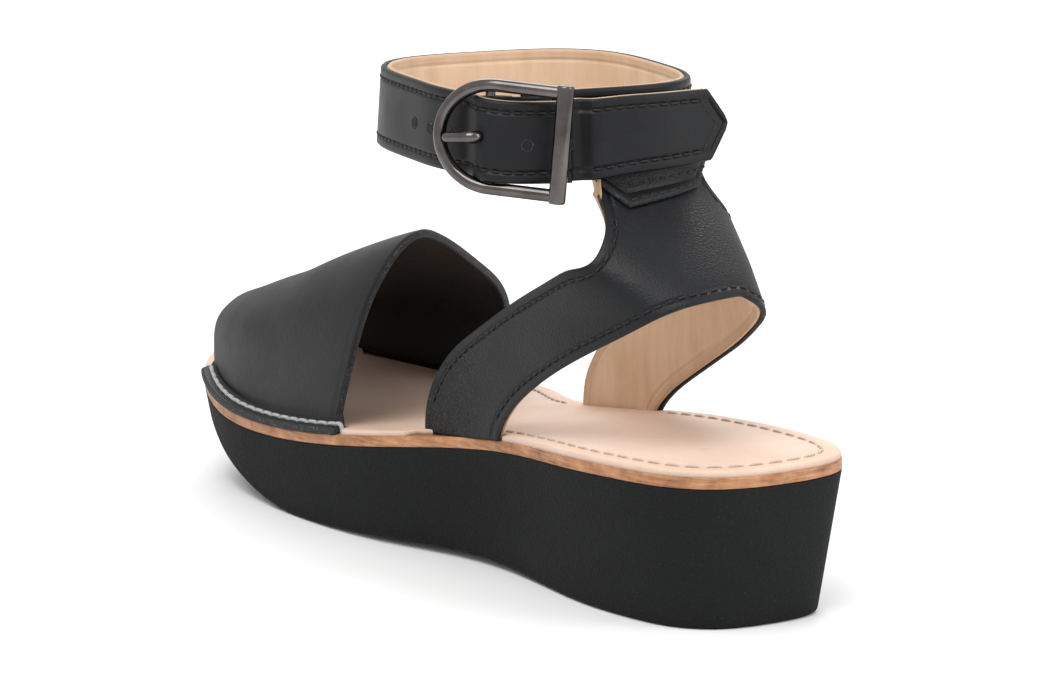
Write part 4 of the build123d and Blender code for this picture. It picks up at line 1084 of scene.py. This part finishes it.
def arch_station(x):
    """The vamp's section at one station, from the outer foot over the ridge to the inner foot."""
    base = float(seat(x)) + BOARD
    top, middle = np.interp(x, RIDGE[:, 0], RIDGE[:, 1]), np.interp(x, RIDGE[:, 0], RIDGE[:, 2])
    outer = np.interp(x, outline_table[:, 0], outline_table[:, 1]) - WALL_INSET - middle
    inner = np.interp(x, outline_table[:, 0], outline_table[:, 2]) - WALL_INSET + middle
    arch = [(middle + outer * s, base + (top - base) * r) for s, r in ARCH_OUTER]
    arch += [(middle - inner * s, base + (top - base) * r) for s, r in ARCH_INNER]
    arch = np.array(arch) + (SHIFT, 0.0)
    return smooth_curve(arch, 121)


STATIONS = RIDGE[:, 0]
ARCHES = np.stack([arch_station(x) for x in STATIONS])
X_FINE = np.linspace(STATIONS[0], STATIONS[-1], 340)
ARCH_FINE = cubic(STATIONS, ARCHES, X_FINE)
front_a, front_b, front_c = (106.0, 42.0), (115.5, 2.0), (111.5, -42.0)


def circle_through(a, b, c):
    """Centre and radius of the circle through three points."""
    m = np.array([[b[0] - a[0], b[1] - a[1]], [c[0] - a[0], c[1] - a[1]]], float)
    v = 0.5 * np.array([b[0] ** 2 - a[0] ** 2 + b[1] ** 2 - a[1] ** 2, c[0] ** 2 - a[0] ** 2 + c[1] ** 2 - a[1] ** 2])
    centre = np.linalg.solve(m, v)
    return centre, float(np.hypot(*(np.array(a) - centre)))


ARC_CENTRE, ARC_RADIUS = circle_through(front_a, front_b, front_c)


def side_y(x, outer_side, beyond_by):
    """Y of the sole's outline moved outward."""
    ring = RING - NORMAL * beyond_by
    part = ring[:HALF + 1] if outer_side else np.vstack([ring[HALF:], ring[:1]])[::-1]
    return np.interp(x, part[:, 0], part[:, 1])


def vamp_lines():
    """Lines of the vamp along the foot, from the outer flange's edge over the arch to the inner flange's edge."""
    base = seat(X_FINE) + BOARD + VAMP
    feet, fillet = [], 1.5
    for outer_side, column in ((True, 0), (False, -1)):
        sign = 1 if outer_side else -1
        wall = ARCH_FINE[:, column, 0]
        rim_y = side_y(X_FINE, outer_side, 0.8)
        group = []
        reach = np.maximum(sign * (rim_y - wall) - fillet, 1.0)
        for s in (1.0, 0.97, 0.85, 0.7, 0.55, 0.4, 0.25, 0.1, 0.0):
            group.append(np.c_[X_FINE, wall + sign * (fillet + s * reach), base + 0 * s])
        for b in (25, 50, 70):
            a = math.radians(b)
            group.append(np.c_[X_FINE, wall + sign * fillet * (1 - math.sin(a)), base + fillet * (1 - math.cos(a))])
        feet.append(group)
    lines, flange_count = list(feet[0]), len(feet[0])
    for k in range(1, 120):
        line = np.c_[X_FINE, ARCH_FINE[:, k]]
        low = base + fillet
        if line[:, 2].min() < low.min() and (k < 12 or k > 108):
            if (line[:, 2] < low + 0.4).any():
                continue
        lines.append(line)
    arch_last = len(lines)
    lines += feet[1][::-1]
    return np.stack(lines), flange_count, arch_last


def past_rear(points):
    """How far points lie ahead of the slanting plane of the vamp's rear edge."""
    return points[:, 0] + 0.427 * points[:, 1] + 0.37 * points[:, 2] - 55.3


VAMP_LINES, flange_first, arch_last = vamp_lines()
vamp_rows = []
share = np.r_[0, 0.004, 0.012, 0.022, 0.034, 0.05, np.linspace(0.07, 0.965, 70), 0.985, 0.995, 1]
for index, line in enumerate(VAMP_LINES):
    from_wall = max(0, flange_first - index, index - arch_last + 1)
    step_back = 3.44 * min(1.0, from_wall / 4.0)
    plane = past_rear(line) + step_back
    x_rear = np.interp(0.0, plane, line[:, 0])
    reach = np.hypot(line[:, 0] - ARC_CENTRE[0], line[:, 1] - ARC_CENTRE[1]) - ARC_RADIUS
    x_front = np.interp(0.0, reach, line[:, 0])
    xs = x_rear + (x_front - x_rear) * share
    vamp_rows.append(np.stack([xs, np.interp(xs, line[:, 0], line[:, 1]), np.interp(xs, line[:, 0], line[:, 2])], 1))
vamp_grid = np.stack(vamp_rows)
rear_gap = gap_to(vamp_grid, [vamp_grid[:, 0]])
rim_gap = gap_to(vamp_grid, [vamp_grid[:, 0], vamp_grid[:, -1], vamp_grid[0], vamp_grid[-1]])
vamp_out = grid_normals(vamp_grid)
if vamp_out[len(vamp_grid) // 2, 40, 2] < 0:
    vamp_out = -vamp_out
roll = 0.25 * np.exp(-((rear_gap - 1.7) / 0.4) ** 2)
folds = 0.25 * np.sin(vamp_grid[..., 0] / 7.0 + 0.5) * np.exp(-((vamp_grid[..., 0] - 75.0) / 26.0) ** 2) \
    * np.clip((vamp_grid[..., 2] - 45.0) / 12.0, 0, 1)


vamp_folded = vamp_material()
piece = shell("vamp_leather_panel", vamp_grid + vamp_out * (folds - roll)[..., None], vamp_out, VAMP, 0.6,
              rim_gap, {"edge": rear_gap}, (vamp_folded, edge_fibre_and_highlight))
place(piece, "root", ["vamp"], [])

# ---- seams on the sole
def sole_line(inset, rise):
    """The line on top of the board at an inset from its edge."""
    xy = RING + NORMAL * inset
    return np.c_[xy, seat(xy[:, 0]) + BOARD + rise]


def flat_seam(line, *sizes):
    return seam_on(line, np.tile((0.0, 0.0, 1.0), (len(line), 1)), *sizes)


cord = sole_line(1.9, VAMP)
ahead = past_rear(cord) + 3.0 > 0
ahead &= np.hypot(cord[:, 0] - ARC_CENTRE[0], cord[:, 1] - ARC_CENTRE[1]) < ARC_RADIUS - 1.0
cord[:, 2] += 0.25
parts = []
for chosen in (ahead & OUTER_SIDE, ahead & ~OUTER_SIDE):
    line = cord[chosen]
    parts.append(flat_seam(line, 4.7, 4.5, 1.25, 0.95))
    end, inward = (line[0], line[1]) if chosen[:HALF].any() else (line[-1], line[-2])
    back = unit(end - inward)
    drop_path = np.array([end + back * s + np.array((0, 0, z)) for s, z in (
        (-0.4, 0.2), (0.7, 0.2), (1.5, -0.4), (1.8, -1.3), (1.75, -2.2), (1.7, -2.9))])
    parts.append(tube_mesh(even(smooth_curve(drop_path, 20), 14), 0.6, 8, up=(0.3, 0.9, 0.2)))
piece = add_parts("vamp_flange_cord", parts)
place(piece, "root", ["vamp_flange_stitching"], [thread_pale])

seam = sole_line(5.2, COVER)
x = seam[:, 0]
before_vamp = (past_rear(seam) < -9.0) & ~OUTER_SIDE & (x > 2.0)
seam[:, 2] += 0.05
order = np.r_[np.flatnonzero((x < -42.0) & ~OUTER_SIDE), np.flatnonzero((x < -16.0) & OUTER_SIDE)]
parts = [flat_seam(seam[chosen], 5.6, 4.3, 0.85, 0.6) for chosen in (order, before_vamp)]
piece = add_parts("footbed_thread", parts)
place(piece, "root", ["footbed_stitching"], [thread_tan])

# ---- buckle
RAIL_HALF, RAIL_RADIUS, RAIL_END = 13.2, 1.7, 21.0
bar_at, bar_out, bar_along = strap_spot(BAR, -0.8, 0.0, 0.5)
bar_up = np.cross(bar_out, bar_along)
tilt, sag = math.sin(math.radians(4.2)), math.sin(math.radians(4.0))
frame_x = unit(bar_along + bar_out * tilt - bar_up * sag)
frame_z = bar_out - bar_along * tilt
frame_z = unit(frame_z - frame_x * (frame_z @ frame_x))
frame_y = np.cross(frame_z, frame_x)
prong_at = bar_at - bar_up * 0.8
frame_at = prong_at + bar_out * 3.4


def frame_place(x, y, z=0.0):
    return frame_at + np.multiply.outer(x, frame_x) + np.multiply.outer(y, frame_y) + np.multiply.outer(z, frame_z)


rails = [(x, RAIL_HALF) for x in np.linspace(RAIL_END, 2.6, 24)]
rails += [(2.0 - 14.8 * math.sin(a), RAIL_HALF * math.cos(a)) for a in np.linspace(0.0, math.pi, 61)]
rails += [(x, -RAIL_HALF) for x in np.linspace(2.6, RAIL_END, 24)]
rails = np.array(rails)
parts = [tube_mesh(frame_place(rails[:, 0], rails[:, 1]), RAIL_RADIUS, 20, up=frame_z)]


def bar_mesh(centre, axis, length, radius, rim, upward):
    """A straight round bar with rounded rims."""
    stations = [(-0.5 * length + rim * (1 - math.cos(a)), radius - rim + rim * math.sin(a))
                for a in np.linspace(0.0, 0.5 * math.pi, 7)]
    stations += [(-s, r) for s, r in reversed(stations)]
    path = np.array([centre + axis * s for s, _ in stations])
    side = unit(np.cross(axis, upward))
    top, turn = np.cross(side, axis), circle(ROUND)
    points = np.vstack([c + r * (np.outer(np.cos(turn), side) + np.outer(np.sin(turn), top))
                        for c, (_, r) in zip(path, stations)])
    return points, capped(len(stations), ROUND)


parts.append(bar_mesh(frame_place(RAIL_END, 0.0), frame_y, 30.4, 2.25, 0.7, frame_z))
parts.append(bar_mesh(prong_at, bar_up, 29.0, 1.3, 0.4, bar_out))
for side in (1, -1):
    foot = prong_at + bar_up * RAIL_HALF * side
    parts.append(bar_mesh(foot + bar_out * 1.7, bar_out, 3.4, 1.15, 0.1, bar_up))
piece = add_parts("buckle_frame_metal", parts)
place(piece, "buckle", ["buckle_frame"], [nickel])

prong_x = unit(bar_along + bar_up * 0.06)
curve = smooth_curve([(-0.7, 1.9), (-1.0, 4.0), (-1.35, 6.2), (-2.6, 7.3), (-5.0, 7.05), (-8.0, 6.2),
                      (-10.9, 5.45)], 40)
tip_round = np.clip((10.9 + curve[:, 0]) / 1.3, 0, 1)
radii = np.where(curve[:, 0] < -2.0, 1.5 - 0.022 * (-curve[:, 0] - 2.0), 1.5) \
    * np.sqrt(1 - (1 - tip_round) ** 2 * 0.93)
path = prong_at + np.outer(curve[:, 0], prong_x) + np.outer(curve[:, 1], bar_out)
parts = [tube_mesh(path, radii, 18, up=bar_up)]
section = [(1.62, -1.35), (1.85, -1.6), (2.6, -1.6), (2.85, -1.35)]
section += [(r, -h) for r, h in reversed(section)]
collar = np.vstack([[prong_at + r * (math.cos(t) * prong_x + math.sin(t) * bar_out) + h * bar_up
                     for r, h in section] for t in circle(40)])
parts.append((collar, ring_faces(40, len(section))))
piece = add_parts("buckle_prong_metal", parts)
place(piece, "prong", ["buckle_prong"], [nickel])


def loop_side(angle, grow):
    """The ankle loop in the chape's side view: along the strap and outward."""
    here = loop_point(BAR + angle, grow, 0.0) - bar_at
    return here @ bar_along, here @ bar_out


mid = 2.22
spine = [loop_side(a, 0.72) for a in (20.0, 17.0, 14.0, 12.0)]
spine += [(3.0, mid), (0.0, mid), (-mid * 0.7, mid * 0.7), (-mid, 0.0), (-mid * 0.7, -mid * 0.7), (0.0, -mid),
          (5.0, -mid + 0.1)]
spine = smooth_curve(spine, 90)


def chape_strip(first, last, low, high):
    """A strip of the chape: it follows the spine between two heights along the bar."""
    line = spine[first:last]
    run = unit(np.gradient(line, axis=0))
    side = np.c_[-run[:, 1], run[:, 0]]
    back = [(low, -0.35), (low + 0.25, -0.6)] + [(h, -0.6) for h in np.linspace(low + 0.8, high - 0.8, 6)]
    back += [(high - 0.25, -0.6), (high, -0.35)]
    face = [(high, 0.35), (high - 0.25, 0.6)] + [(h, 0.6) for h in np.linspace(high - 0.8, low + 0.8, 6)]
    ring = back + face + [(low + 0.25, 0.6), (low, 0.35)]
    points = []
    for c, n in zip(line, side):
        for h, d in ring:
            x, y = c + n * d
            points.append(bar_at + bar_along * x + bar_out * y + bar_up * h)
    return np.array(points), capped(len(line), len(ring))


cut = int(np.argmax(spine[:, 0] < 6.0))
parts = [chape_strip(0, cut + 1, -9.3, 9.3), chape_strip(cut, 90, -9.3, -3.0), chape_strip(cut, 90, 3.0, 9.3)]
points, faces = join(parts)
piece = outward(add_mesh("buckle_chape_leather", points, faces, {"edge": np.full(len(points), 6.0),
                                                                 "grain": np.full(len(points), 0.3)}))
place(piece, "root", ["buckle_chape"], [upper])

# ---- floor, light and camera
floor_mesh = bpy.data.meshes.new("floor")
floor_mesh.from_pydata([(-9, -9, 0), (9, -9, 0), (9, 9, 0), (-9, 9, 0)], [], [(0, 1, 2, 3)])
floor = bpy.data.objects.new("floor", floor_mesh)
bpy.context.scene.collection.objects.link(floor)
floor_paint = bpy.data.materials.new("floor_paint")
floor_paint.use_nodes = True
floor_paint.node_tree.nodes["Principled BSDF"].inputs["Base Color"].default_value = (0.86, 0.86, 0.86, 1)
floor_paint.node_tree.nodes["Principled BSDF"].inputs["Roughness"].default_value = 0.9
floor_mesh.materials.append(floor_paint)
floor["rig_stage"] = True

right = Vector((-0.56010, -0.82841, -0.00509))
upward = Vector((0.17232, -0.12252, 0.97739))
ahead_dir = Vector((0.81031, -0.54656, -0.21137))
camera_data = bpy.data.cameras.new("camera")
camera_data.lens = 204.43
camera_data.sensor_width = 36.0
camera_data.sensor_fit = "HORIZONTAL"
camera_data.clip_end = 50.0
camera = bpy.data.objects.new("camera", camera_data)
bpy.context.scene.collection.objects.link(camera)
turn_to = Matrix((right, upward, -ahead_dir)).transposed().to_4x4()
camera.matrix_world = Matrix.Translation((-1.28607, 0.86174, 0.38648)) @ turn_to
bpy.context.scene.camera = camera
camera["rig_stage"] = True


def lamp(name, at, aim, size, power):
    data = bpy.data.lights.new(name, "AREA")
    data.shape = "RECTANGLE"
    data.size, data.size_y = size
    data.energy = power
    light = bpy.data.objects.new(name, data)
    light.location = at
    light.rotation_euler = (Vector(aim) - Vector(at)).to_track_quat("-Z", "Y").to_euler()
    bpy.context.scene.collection.objects.link(light)


lamp("key", (-0.3, 0.55, 1.25), (0.0, 0.0, 0.05), (0.9, 0.9), 11.0)
lamp("back", (0.9, -0.7, 1.0), (0.0, 0.0, 0.05), (1.0, 0.8), 9.0)
lamp("side", (-0.9, -0.6, 0.6), (0.0, 0.0, 0.06), (0.5, 0.9), 4.5)
world = bpy.data.worlds.new("studio")
world.use_nodes = True
world.node_tree.nodes["Background"].inputs["Color"].default_value = (1.0, 1.0, 1.0, 1)
world.node_tree.nodes["Background"].inputs["Strength"].default_value = 0.85
bpy.context.scene.world = world
bpy.context.scene.view_settings.view_transform = "Standard"
